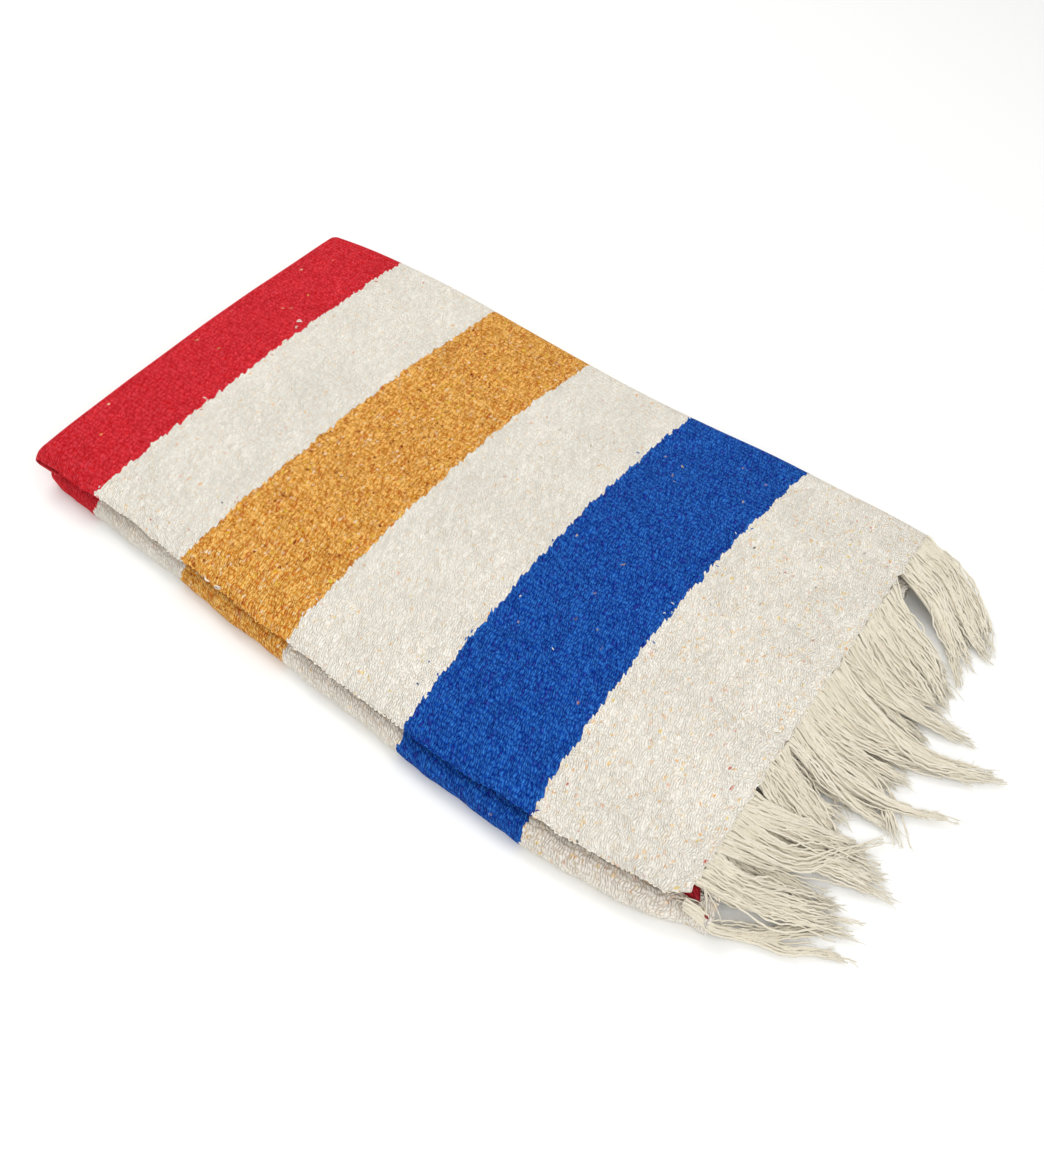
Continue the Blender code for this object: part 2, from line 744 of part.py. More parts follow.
def underside_fringe(palette, collection):
    """The fringe of the lowest layer's woven end, along the floor and round the front spine."""
    rng = random.Random(FRINGE_SEED + 2)
    end_x = STRIPES[-1][0] * MM + LOWER_END_EXTRA
    spine_rows, bottom_rows = len(BACK_SPINE_DEGREES) - 1, 6
    path = lower_path(end_x, bottom_rows=bottom_rows)
    locks = []
    for lane in range(LANES - 2, 1, -2):
        y = lane_y(lane) - 0.5 * LANE_PITCH
        lock = lock_habits(rng, "underside")
        lock["along"] = length_at_y(path, y, spine_rows, spine_rows + bottom_rows + 1)
        locks.append(lock)
    corner = lock_habits(rng, "underside_corner")
    corner["along"] = locks[-1]["along"] + UNDERSIDE_CORNER_OFFSET
    locks.append(corner)
    return fringe("underside_fringe", path, lambda y: stripe_line(len(STRIPES) - 1, y, True), locks,
                  palette, collection)


def build():
    """Clear the scene and build the folded blanket."""
    for old in list(bpy.data.objects):
        bpy.data.objects.remove(old, do_unlink=True)
    collection = bpy.data.collections.new(COLLECTION_NAME)
    bpy.context.scene.collection.children.link(collection)
    palette = make_materials()
    cloth_stretch("top_stretch", top_path, False, palette, collection)
    cloth_stretch("underside_stretch", lower_path, True, palette, collection)
    inner_layers(palette, collection)
    middle_fold(palette, collection)
    inner_folds(palette, collection)
    top_fringe(palette, collection)
    middle_fringe(palette, collection)
    underside_fringe(palette, collection)


build()
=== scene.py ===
"""Dressed model of a striped cotton blanket, folded in thirds both ways.

The blanket is one woven cloth. It is folded in thirds along its length, and the
bundle is folded in thirds across its width. The outermost layer runs over the
top, round the back spine, under the stack and round the front spine. The left
end is a row of folds, and the right end is the woven end with its warp fringe.

Lengths are in metres unless a name or a table says millimetres. X runs from the
folds to the fringe, Y from the front to the back, and Z up from the floor.
"""

import logging
import math
from dataclasses import dataclass, field
from enum import Enum
from typing import Any, Callable

import bpy
import numpy as np
from mathutils import Matrix, Vector


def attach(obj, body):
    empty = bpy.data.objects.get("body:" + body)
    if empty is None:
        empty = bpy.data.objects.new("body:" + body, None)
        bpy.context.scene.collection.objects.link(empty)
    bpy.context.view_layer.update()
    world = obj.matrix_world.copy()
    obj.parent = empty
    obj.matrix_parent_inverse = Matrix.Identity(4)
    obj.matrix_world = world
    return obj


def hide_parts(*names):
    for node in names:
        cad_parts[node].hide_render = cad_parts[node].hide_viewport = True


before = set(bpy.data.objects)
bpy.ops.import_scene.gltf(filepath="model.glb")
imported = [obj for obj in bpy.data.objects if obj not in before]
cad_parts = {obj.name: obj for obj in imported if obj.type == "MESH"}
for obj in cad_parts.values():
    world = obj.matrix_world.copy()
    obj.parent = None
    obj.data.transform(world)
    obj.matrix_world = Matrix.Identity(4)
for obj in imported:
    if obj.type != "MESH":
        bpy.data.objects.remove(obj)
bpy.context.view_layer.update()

LOG = logging.getLogger("blanket")
MM = 0.001
BODY = "root"
CLOTH_UV = "cloth"
YARN_UV = "yarn"
HALF_WIDTH = 195.0 * MM
WOVEN_END = 289.0
LEFT_END = -322.8
FIBRE_IOR = 1.5
SHEEN_ROUGHNESS = 0.5


class Yarn(Enum):
    """The dyed yarns of the blanket, each with its dark, its light and its lint."""

    RED = "red"
    CREAM = "cream"
    OCHRE = "ochre"
    BLUE = "blue"


@dataclass(frozen=True)
class Stripe:
    """One weft stripe: where it begins, how its first line lies, and its yarn.

    begins, lean and bend are in millimetres, and lint is the share of knuckles
    with a fleck of another colour.
    """

    begins: float
    lean: float
    bend: float
    yarn: Yarn
    lint: float


STRIPES = (
    Stripe(-316.0, 0.0, 0.0, Yarn.RED, 0.002),
    Stripe(-248.6, 3.0, -1.5, Yarn.CREAM, 0.022),
    Stripe(-149.5, 8.0, 4.0, Yarn.OCHRE, 0.200),
    Stripe(-47.2, 6.0, 8.0, Yarn.CREAM, 0.025),
    Stripe(59.8, 2.0, 9.0, Yarn.BLUE, 0.003),
    Stripe(168.0, 3.0, 11.0, Yarn.CREAM, 0.110),
)
END_LINE = Stripe(WOVEN_END, 0.0, 2.0, Yarn.CREAM, 0.0)


@dataclass(frozen=True)
class Station:
    """The folded stack's section at one place along its length, in millimetres."""

    x: float
    front: float
    spine: float
    back: float
    front_height: float
    crown_height: float
    back_height: float


STATIONS = (
    Station(-322, -186.0, -180.0, 185.0, 30.0, 34.0, 26.0),
    Station(-290, -185.2, -187.0, 190.0, 31.0, 36.5, 26.8),
    Station(-240, -184.2, -190.5, 194.5, 31.8, 37.6, 27.0),
    Station(-180, -187.0, -193.0, 196.5, 32.2, 38.0, 27.0),
    Station(-105, -192.0, -199.0, 194.0, 32.4, 38.2, 27.0),
    Station(-40, -196.0, -203.0, 192.0, 32.4, 38.4, 27.0),
    Station(30, -199.2, -207.0, 191.5, 32.4, 38.2, 27.0),
    Station(90, -202.0, -211.0, 194.5, 32.2, 38.0, 27.0),
    Station(150, -200.6, -213.5, 199.0, 31.8, 37.6, 27.0),
    Station(210, -197.8, -212.0, 200.5, 31.2, 36.6, 26.8),
    Station(260, -192.7, -206.0, 202.0, 30.4, 35.0, 26.4),
    Station(300, -186.0, -196.0, 201.0, 29.4, 33.0, 26.0),
)


@dataclass(frozen=True)
class Crease:
    """A soft ridge, or a trough where its height is below zero, in millimetres."""

    x0: float
    y0: float
    x1: float
    y1: float
    width: float
    height: float


CREASES = (
    Crease(-120, -166, 190, -172, 10, 0.7),
    Crease(-60, -150, 160, -158, 9, -0.5),
    Crease(-290, -60, -210, 120, 26, 0.8),
    Crease(-200, 60, 40, 96, 24, 0.7),
    Crease(-150, -40, 60, -10, 30, -0.7),
    Crease(60, 40, 230, 70, 26, 0.8),
    Crease(90, -90, 260, -60, 24, -0.7),
    Crease(180, -150, 280, -120, 16, 0.8),
    Crease(200, 120, 285, 150, 18, 0.8),
    Crease(-300, 150, -60, 168, 14, 0.6),
    Crease(0, 150, 200, 172, 12, -0.6),
)


@dataclass(frozen=True)
class Wave:
    """A broad wave of the top, whose crests sway from side to side, in millimetres.

    pitch and sway_pitch are the lengths in which the wave and its sway turn by
    one radian, and sway and phase are in radians.
    """

    height: float
    pitch: float
    sway: float
    sway_pitch: float
    phase: float = 0.0


WAVES = (Wave(0.45, 38, 1.3, 70), Wave(0.40, 31, 1.1, 55, 0.7), Wave(0.22, 13, 2.0, 24))


@dataclass(frozen=True)
class Ripple:
    """A sideways ripple of a long edge: millimetres, and radians of its phase and its sway."""

    height: float
    pitch: float
    turn: float
    sway: float = 0.0


EDGE_RIPPLES = (Ripple(0.55, 15, 1.0), Ripple(0.40, 6.3, 2.1, 1.0), Ripple(0.25, 3.1, 0.7))


@dataclass(frozen=True)
class Lock:
    """A lock of the top fringe as it lies: root, two bends and tip in plan, in millimetres."""

    root_y: float
    near_x: float
    near_y: float
    far_x: float
    far_y: float
    tip_x: float
    tip_y: float
    yarns: int


LOCKS = (
    Lock(-169, 315, -162, 353, -146.5, 390, -132, 10),
    Lock(-164, 316, -157, 347, -144, 394, -121, 11),
    Lock(-159, 322, -152, 345, -139, 370, -125, 9),
    Lock(-154, 319, -148, 337, -136, 354, -130, 9),
    Lock(-143, 317, -130, 345, -107, 388, -84, 12),
    Lock(-129, 319, -122, 357, -103, 402, -95, 12),
    Lock(-119, 322, -115, 360, -94, 388, -85, 11),
    Lock(-112, 315, -102, 345, -89, 382, -77, 11),
    Lock(-105, 318, -93, 346, -79, 366, -71, 10),
    Lock(-133, 338, -117, 357, -87, 375, -62, 8),
    Lock(-79, 306, -84, 325, -81, 352, -77, 10),
    Lock(-66, 313, -69, 333, -70, 354, -77, 11),
    Lock(-57, 306, -62, 326, -64, 346, -62, 10),
    Lock(-43, 313, -45, 349, -47, 377, -46, 11),
    Lock(-31, 313, -37, 361, -35, 410, -16, 11),
    Lock(-24, 311, -26, 354, -25, 388, -54, 11),
    Lock(-14, 310, -17, 339, -12, 371, -7, 11),
    Lock(-3, 312, -5, 348, 3, 396, 20, 11),
    Lock(9, 311, 7, 367, 15, 415, 20, 12),
    Lock(20, 311, 18, 373, 14, 428, 36, 11),
    Lock(29, 320, 22, 379, 19, 417, 39, 11),
    Lock(51, 308, 45, 353, 46, 394, 52, 12),
    Lock(64, 314, 55, 346, 51, 389, 53, 11),
    Lock(75, 313, 66, 342, 61, 367, 68, 11),
    Lock(91, 315, 79, 339, 73, 364, 61, 11),
    Lock(104, 313, 97, 342, 87, 368, 71, 12),
    Lock(118, 316, 108, 343, 99, 362, 79, 11),
    Lock(155, 323, 141, 345, 124, 370, 95, 10),
    Lock(163, 323, 150, 347, 134, 372, 114, 10),
    Lock(172, 324, 163, 347, 149, 380, 129, 10),
    Lock(181, 320, 176, 344, 162, 373, 132, 10),
    Lock(188, 314, 189, 344, 173, 377, 137, 11),
)


def linear(hex_colour: str) -> tuple[float, float, float, float]:
    """Turn an sRGB colour into the linear colour that the shader takes.

    Args:
        hex_colour: the colour as "#RRGGBB".

    Returns:
        Linear red, green, blue and alpha.
    """
    channels = [int(hex_colour[i:i + 2], 16) / 255.0 for i in (1, 3, 5)]
    shaded = [c / 12.92 if c <= 0.04045 else ((c + 0.055) / 1.055) ** 2.4 for c in channels]
    return (*shaded, 1.0)


def smooth_curve(at: np.ndarray, xs: np.ndarray, ys: np.ndarray) -> np.ndarray:
    """Read a smooth curve through points with rising xs.

    Args:
        at: the places to read.
        xs: the points' places.
        ys: the points' values.

    Returns:
        The values at those places.
    """
    slopes = np.gradient(ys, xs)
    at = np.clip(at, xs[0], xs[-1])
    i = np.clip(np.searchsorted(xs, at, side="right") - 1, 0, len(xs) - 2)
    span = xs[i + 1] - xs[i]
    t = (at - xs[i]) / span
    rise = (2 * t**3 - 3 * t**2 + 1) * ys[i] + (3 * t**2 - 2 * t**3) * ys[i + 1]
    return rise + span * ((t**3 - 2 * t**2 + t) * slopes[i] + (t**3 - t**2) * slopes[i + 1])


def ease(t: np.ndarray) -> np.ndarray:
    """0 to 1 with level ends."""
    t = np.clip(t, 0.0, 1.0)
    return t * t * (3.0 - 2.0 * t)


def unit(vectors: np.ndarray) -> np.ndarray:
    """The same directions at length one."""
    return vectors / np.maximum(np.linalg.norm(vectors, axis=-1, keepdims=True), 1e-12)


@dataclass
class Section:
    """Sections of the outer cloth at several places along its length.

    Every array has one row for each place and one column for each step along
    the section: its y and z, the direction into the bundle, the bundle's depth
    there, and the share of the lower bundles in the step.
    """

    y: np.ndarray
    z: np.ndarray
    inward_y: np.ndarray
    inward_z: np.ndarray
    bundle: np.ndarray
    lower: np.ndarray


@dataclass
class FoldedStack:
    """The form of the folded stack, which every cloth in it follows.

    lip_zero, lip_from and lip_hang are in degrees, and a share is of the width
    or of a height. The rows are steps round the section.
    """

    lip_depth: float = 9.0 * MM
    lip_drop: float = 8.0 * MM
    lip_zero: float = 150.0
    lip_from: float = 152.0
    crown_power: float = 2.2
    back_spine_depth: float = 13.0 * MM
    front_spine_depth: float = 11.0 * MM
    front_spine_bundle: float = 7.6 * MM
    tuck: float = 12.0 * MM
    middle_share: float = 0.66
    middle_crown_share: float = 0.35
    layer_gap: float = 0.35 * MM
    seam: float = 0.3 * MM
    left_corner: float = 6.0 * MM
    left_corner_start: float = 174.0 * MM
    left_setback: float = 14.5 * MM
    left_setback_reach: float = 70.0 * MM
    fold_reach: float = 5.5 * MM
    leg_end: float = -291.0 * MM
    lower_end_extra: float = 10.0 * MM
    front_end_extra: float = 11.0 * MM
    front_extra_reach: float = 60.0 * MM
    corner_back: float = 8.0 * MM
    corner_back_start: float = 274.0 * MM
    corner_back_reach: float = 22.0 * MM
    spine_lag: float = 6.0 * MM
    crease_end: float = 0.35
    lip_hang: float = 60.0
    drawn_share: float = 0.12
    level_share: float = 0.06
    lip_rows: int = 12
    top_rows: int = 96
    spine_rows: int = 26
    bottom_rows: int = 56
    front_rows: int = 22
    tuck_rows: int = 4

    def size(self, x: np.ndarray) -> dict[str, np.ndarray]:
        """The stack's sizes at places along its length, in metres."""
        xs = np.array([s.x for s in STATIONS]) * MM
        names = ("front", "spine", "back", "front_height", "crown_height", "back_height")
        return {
            name: smooth_curve(x, xs, np.array([getattr(s, name) for s in STATIONS]) * MM)
            for name in names
        }

    def top_edges(self, size: dict[str, np.ndarray]) -> tuple[np.ndarray, np.ndarray]:
        """Where the nearly flat top begins and ends across the width."""
        first = size["front"] - self.lip_depth * math.cos(math.radians(self.lip_zero))
        return first, size["back"] - self.back_spine_depth

    def heights(self, size: dict[str, np.ndarray], y: np.ndarray) -> tuple[np.ndarray, np.ndarray]:
        """Height of the outer cloth and of the two lower bundles.

        Args:
            size: the stack's sizes at a place.
            y: where across the width.

        Returns:
            The top cloth's height and the height of the bundles below the top one.
        """
        first, last = self.top_edges(size)
        t = np.clip((y - first) / (last - first), 0.0, 1.0)
        edge = size["front_height"] + (size["back_height"] - size["front_height"]) * t
        bump = size["crown_height"] - 0.5 * (size["front_height"] + size["back_height"])
        bump = bump * (1.0 - np.abs(2.0 * t - 1.0) ** self.crown_power)
        return edge + bump, self.middle_share * edge + self.middle_crown_share * bump

    def relief(self, x: np.ndarray, y: np.ndarray) -> np.ndarray:
        """Soft unevenness of the top: broad waves and the listed creases."""
        rise = 0.0
        for wave, (a, b) in zip(WAVES, ((x, y), (y, x), (x, y))):
            sway = wave.sway * np.sin(b / (wave.sway_pitch * MM) + wave.phase)
            rise = rise + wave.height * MM * np.sin(a / (wave.pitch * MM) + sway)
        for crease in CREASES:
            start = np.array([crease.x0, crease.y0]) * MM
            way = np.array([crease.x1, crease.y1]) * MM - start
            t = ((x - start[0]) * way[0] + (y - start[1]) * way[1]) / (way @ way)
            near = np.clip(t, 0.0, 1.0)
            off = np.hypot(x - start[0] - near * way[0], y - start[1] - near * way[1])
            fade = self.crease_end + (1.0 - self.crease_end) * np.sin(math.pi * near)
            rise = rise + crease.height * MM * fade * np.exp(-((off / (crease.width * MM)) ** 2))
        return rise

    def edge_ripple(self, x: np.ndarray, phase: float) -> np.ndarray:
        """Sideways unevenness of a long edge."""
        slow = np.sin(x / (31 * MM))
        return MM * sum(
            edge.height * np.sin(x / (edge.pitch * MM) + edge.turn * phase + edge.sway * slow)
            for edge in EDGE_RIPPLES
        )

    def drawn_back(self, x: np.ndarray) -> np.ndarray:
        """How far the front edge of the top is drawn back beside the woven end."""
        return self.corner_back * ease((x - self.corner_back_start) / self.corner_back_reach)

    def section(self, x: np.ndarray) -> Section:
        """Sections of the outer cloth, from its front selvage to its tucked end.

        Args:
            x: places along the length.

        Returns:
            The sections, with one row for each place.
        """
        size = {name: values[:, None] for name, values in self.size(x).items()}
        x = x[:, None]
        first, last = self.top_edges(size)
        cells: list[tuple[np.ndarray, ...]] = []
        ones = np.ones_like(first)

        # The lip over the front edge.
        angle = np.radians(np.linspace(self.lip_from, 90.0, self.lip_rows, endpoint=False))[None, :]
        y = size["front"] + self.lip_depth * (np.cos(angle) - math.cos(math.radians(self.lip_zero)))
        z = size["front_height"] - self.lip_drop * (1.0 - np.sin(angle))
        hang = ease((np.degrees(angle) - 90.0) / self.lip_hang)
        y = y - self.edge_ripple(x, 0.4) * hang + self.drawn_back(x)
        floor_z = self.heights(size, y)[1]
        cells.append((y, z, 0 * y, -ones + 0 * y, z - floor_z - self.layer_gap, 0 * y))

        # The top.
        t = np.linspace(0.0, 1.0, self.top_rows, endpoint=False)[None, :]
        y = first + (last - first) * t + self.drawn_back(x) * (1.0 - ease(t / self.drawn_share))
        top, middle = self.heights(size, y)
        level = ease(t / self.level_share) * ease((1.0 - t) / self.level_share)
        z = top + self.relief(x, y) * level
        cells.append((y, z, 0 * y, -ones + 0 * y, z - middle - self.layer_gap, 0 * y))

        # Round the back spine.
        half = 0.5 * size["back_height"]
        middle = self.heights(size, last)[1]
        turn = np.radians(np.linspace(90.0, -90.0, self.spine_rows, endpoint=False))[None, :]
        y = last + self.back_spine_depth * np.cos(turn)
        z = half + half * np.sin(turn)
        share = ease(0.5 - 0.5 * np.sin(turn)) * ones
        above = size["back_height"] - middle - self.layer_gap
        below = 0.5 * middle - 0.5 * self.seam
        cells.append((y, z, -np.cos(turn) * ones, -np.sin(turn) * ones,
                      above + (below - above) * share, share))

        # The underside, flat on the floor.
        near = size["spine"] + self.front_spine_depth
        t = np.linspace(0.0, 1.0, self.bottom_rows, endpoint=False)[None, :]
        y = last + (near - last) * t
        middle = self.heights(size, y)[1]
        cells.append((y, 0 * y, 0 * y, 1.0 + 0 * y, 0.5 * middle - 0.5 * self.seam, 1.0 + 0 * y))

        # Round the front spine.
        height = self.heights(size, near)[1]
        flat = 0.5 * height - 0.5 * self.seam
        turn = np.radians(np.linspace(-90.0, -270.0, self.front_rows, endpoint=False))[None, :]
        bulge = np.cos(turn) ** 2
        y = near + self.front_spine_depth * np.cos(turn) - self.edge_ripple(x, 2.2) * bulge
        y = y + 0.5 * self.drawn_back(x - self.spine_lag) * bulge
        z = 0.5 * height * (1.0 + np.sin(turn))
        bundle = flat + (self.front_spine_bundle - flat) * bulge
        cells.append((y, z, -np.cos(turn) * ones, -np.sin(turn) * ones, bundle, 1.0 + 0 * y))

        # Tucked in between the bundles.
        end = np.maximum(size["front"], size["spine"]) + self.tuck
        t = np.linspace(0.0, 1.0, self.tuck_rows + 1)[None, :]
        y = near + (end - near) * t
        middle = self.heights(size, y)[1]
        cells.append((y, middle, 0 * y, -1.0 + 0 * y, 0.5 * middle - 0.5 * self.seam, 1.0 + 0 * y))

        return Section(*(np.concatenate([cell[k] for cell in cells], axis=1) for k in range(6)))

    def left_line(self, y: np.ndarray, lower: np.ndarray) -> np.ndarray:
        """The folds' outermost x, for the top bundle or for those below it."""
        corner = self.left_corner * ease(
            (np.abs(y) - self.left_corner_start) / (HALF_WIDTH - self.left_corner_start))
        setback = 1.0 - ease((y + HALF_WIDTH) / self.left_setback_reach)
        return LEFT_END * MM + corner + self.left_setback * setback * lower

    def end_extra(self, y: np.ndarray) -> np.ndarray:
        """How much further the lower bundles' woven end reaches."""
        return self.lower_end_extra + self.front_end_extra * (
            1.0 - ease((y + HALF_WIDTH) / self.front_extra_reach))

    def line(self, index: int, y: np.ndarray, lower: np.ndarray) -> np.ndarray:
        """Where the line that begins a stripe crosses each y."""
        if index == 0:
            return self.left_line(y, lower) + self.fold_reach
        stripe = STRIPES[index] if index < len(STRIPES) else END_LINE
        across = np.clip(y / HALF_WIDTH, -1.05, 1.05)
        x = (stripe.begins + stripe.lean * across + stripe.bend * across**2) * MM
        if index == len(STRIPES):
            x = x + self.end_extra(y) * lower + self.end_wave(y)
        return x

    def end_wave(self, y: np.ndarray) -> np.ndarray:
        """The woven end's own unevenness, where the locks pull the last picks."""
        scallop = np.abs(np.sin(y / (4.3 * MM) + 0.8 * np.sin(y / (31 * MM))))
        fine = np.sin(y / (2.6 * MM) + np.sin(y / (19 * MM)) * 2.0)
        return MM * (2.3 * (scallop - 0.7) + 0.5 * fine)


@dataclass
class ClothSurface:
    """Points of a cloth's outer face, row by row, with the cloth's own coordinates.

    points and normals are rows × columns × 3. u runs along the length from the
    folds, one value for each column, and v across the width, for each point.
    """

    points: np.ndarray
    u: np.ndarray
    v: np.ndarray
    normals: np.ndarray = field(init=False)

    def __post_init__(self) -> None:
        """Work out which way the outer face looks."""
        along = np.gradient(self.points, axis=1)
        across = np.gradient(self.points, axis=0)
        self.normals = unit(np.cross(along, across))

    def at(self, u: float, v: float) -> tuple[np.ndarray, np.ndarray]:
        """Find a place on the outer face.

        Args:
            u: distance along the cloth.
            v: distance across the cloth.

        Returns:
            The point and the face's direction there.
        """
        c = float(np.interp(u, self.u, np.arange(len(self.u))))
        left = min(int(c), len(self.u) - 2)
        found = []
        for column in (left, left + 1):
            r = float(np.interp(v, self.v[:, column], np.arange(len(self.v))))
            low = min(int(r), len(self.v) - 2)
            found.append([
                grid[low, column] * (1.0 - r + low) + grid[low + 1, column] * (r - low)
                for grid in (self.points, self.normals)
            ])
        share = c - left
        point, normal = (a * (1.0 - share) + b * share for a, b in zip(*found))
        return point, unit(normal)


def link_mesh(name: str, points: np.ndarray, faces: np.ndarray, uv: np.ndarray, uv_name: str,
              ends: tuple[list[int], ...] = ()) -> bpy.types.Object:
    """Make an object from points and four-cornered faces.

    Args:
        name: the piece's name.
        points: one point a row.
        faces: four point numbers a row.
        uv: a coordinate for each face corner, and then for each corner of the ends.
        uv_name: what the coordinates are called.
        ends: point numbers of the flat faces that close it.

    Returns:
        The object, smooth shaded but for its flat ends, at the origin.
    """
    mesh = bpy.data.meshes.new(name)
    mesh.from_pydata(points.tolist(), [], faces.tolist() + list(ends))
    layer = mesh.uv_layers.new(name=uv_name)
    layer.data.foreach_set("uv", uv.reshape(-1))
    mesh.polygons.foreach_set("use_smooth", [True] * len(faces) + [False] * len(ends))
    mesh.update()
    made = bpy.data.objects.new(name, mesh)
    bpy.context.scene.collection.objects.link(made)
    return made


def grid_faces(rows: int, columns: int, start: int = 0) -> np.ndarray:
    """Faces of a grid of points, turned so that columns × rows is the outer side."""
    r, c = np.meshgrid(np.arange(rows - 1), np.arange(columns - 1), indexing="ij")
    a = (start + r * columns + c).ravel()
    return np.stack([a, a + 1, a + columns + 1, a + columns], axis=1)


@dataclass
class ClothShell:
    """Gives a cloth surface its wall, with a soft round edge all round."""

    thickness: float = 2.4 * MM
    round_steps: int = 3
    bulge: float = 0.35

    def build(self, name: str, surface: ClothSurface) -> bpy.types.Object:
        """Make the closed shell of a cloth.

        Args:
            name: the piece's name.
            surface: its outer face.

        Returns:
            The shell, with the cloth's coordinates as its UV map.
        """
        points, normals = surface.points, surface.normals
        rows, columns = points.shape[:2]
        inner = points - normals * self.thickness
        u = np.broadcast_to(surface.u[None, :], (rows, columns))
        flat_uv = np.stack([u, surface.v], axis=-1).reshape(-1, 2)
        total = rows * columns

        edge = [(0, c) for c in range(columns)] + [(r, columns - 1) for r in range(1, rows)]
        edge += [(rows - 1, c) for c in range(columns - 2, -1, -1)]
        edge += [(r, 0) for r in range(rows - 2, 0, -1)]
        edge = np.array(edge)
        centre = points - normals * self.thickness * 0.5
        out = np.zeros_like(points)
        along, across = unit(np.gradient(points, axis=1)), unit(np.gradient(points, axis=0))
        out[0] -= across[0]
        out[-1] += across[-1]
        out[:, 0] -= along[:, 0]
        out[:, -1] += along[:, -1]
        rim_at = edge[:, 0] * columns + edge[:, 1]
        mid = centre.reshape(-1, 3)[rim_at]
        way = unit(out.reshape(-1, 3)[rim_at])
        up = normals.reshape(-1, 3)[rim_at]
        rings = [rim_at]
        stacked = [points.reshape(-1, 3), inner.reshape(-1, 3)]
        uvs = [flat_uv, flat_uv]
        count = 2 * total
        half = 0.5 * self.thickness
        for k in range(1, self.round_steps + 1):
            angle = math.pi * k / (self.round_steps + 1)
            ring = mid + up * half * math.cos(angle) + way * half * self.bulge * math.sin(angle)
            stacked.append(ring)
            uvs.append(flat_uv[rim_at])
            rings.append(count + np.arange(len(edge)))
            count += len(edge)
        rings.append(total + rim_at)

        faces = [grid_faces(rows, columns), grid_faces(rows, columns, total)[:, ::-1]]
        for near, far in zip(rings, rings[1:]):
            faces.append(np.stack([np.roll(near, -1), near, far, np.roll(far, -1)], axis=1))
        all_faces = np.concatenate(faces)
        all_uv = np.concatenate(uvs)
        return link_mesh(name, np.concatenate(stacked), all_faces, all_uv[all_faces], CLOTH_UV)


@dataclass
class YarnSpinner:
    """Collects many thin yarns and makes one mesh of them."""

    sides: int = 4
    points: list[np.ndarray] = field(default_factory=list)
    faces: list[np.ndarray] = field(default_factory=list)
    uvs: list[np.ndarray] = field(default_factory=list)
    count: int = 0
    yarns: int = 0

    def add(self, centre: np.ndarray, radius: np.ndarray, spot: tuple[float, float] | None = None,
            spin: float = 0.0) -> None:
        """Add one yarn.

        Args:
            centre: points along its middle.
            radius: its radius at each point.
            spot: the place on the cloth whose colour it takes, or None for its own length.
            spin: how far round its first corner stands.
        """
        steps = len(centre)
        tangent = unit(np.gradient(centre, axis=0))
        side = np.cross(tangent, np.array([0.0, 0.0, 1.0]))
        side[np.linalg.norm(side, axis=1) < 1e-3] = (0.0, 1.0, 0.0)
        side = unit(side)
        other = np.cross(tangent, side)
        turn = (spin + 2.0 * math.pi * np.arange(self.sides) / self.sides)[None, :, None]
        ring = (centre[:, None] + radius[:, None, None] * (
            side[:, None] * np.cos(turn) + other[:, None] * np.sin(turn)))
        length = np.concatenate([[0.0], np.cumsum(np.linalg.norm(np.diff(centre, axis=0), axis=1))])
        s, k = np.meshgrid(np.arange(steps - 1), np.arange(self.sides), indexing="ij")
        after = (k + 1) % self.sides
        base = self.count
        low, high = base + s * self.sides, base + (s + 1) * self.sides
        quads = np.stack([low + k, low + after, high + after, high + k], axis=-1).reshape(-1, 4)
        around = np.stack([k, k + 1, k + 1, k], axis=-1) / self.sides
        along = length[np.stack([s, s, s + 1, s + 1], axis=-1)]
        uv = np.stack([along, self.yarns + 0.98 * around], axis=-1).reshape(-1, 4, 2)
        caps = np.array([[0, 3, 2, 1], [0, 1, 2, 3]])
        caps = caps + base + np.array([[0], [(steps - 1) * self.sides]])
        cap_uv = np.array([[[0.0, self.yarns]], [[length[-1], self.yarns]]])
        uv = np.concatenate([uv, np.broadcast_to(cap_uv, (2, 4, 2))])
        if spot is not None:
            uv = np.broadcast_to(np.array(spot), uv.shape)
        self.points.append(ring.reshape(-1, 3))
        self.faces.append(np.concatenate([quads, caps]))
        self.uvs.append(np.array(uv))
        self.count += steps * self.sides
        self.yarns += 1

    def build(self, name: str, uv_name: str) -> bpy.types.Object:
        """Make the object of all the yarns added so far.

        Args:
            name: the piece's name.
            uv_name: what its coordinates are called.

        Returns:
            The object.
        """
        return link_mesh(name, np.concatenate(self.points), np.concatenate(self.faces),
                         np.concatenate(self.uvs), uv_name)


MATH = "ShaderNodeMath"
VECTOR = "ShaderNodeVectorMath"
MAP_RANGE = "ShaderNodeMapRange"
MIX = "ShaderNodeMix"
NOISE = "ShaderNodeTexNoise"
VORONOI = "ShaderNodeTexVoronoi"
RAMP = "ShaderNodeValToRGB"
SPLIT_XYZ = "ShaderNodeSeparateXYZ"
SPLIT_COLOUR = "ShaderNodeSeparateColor"


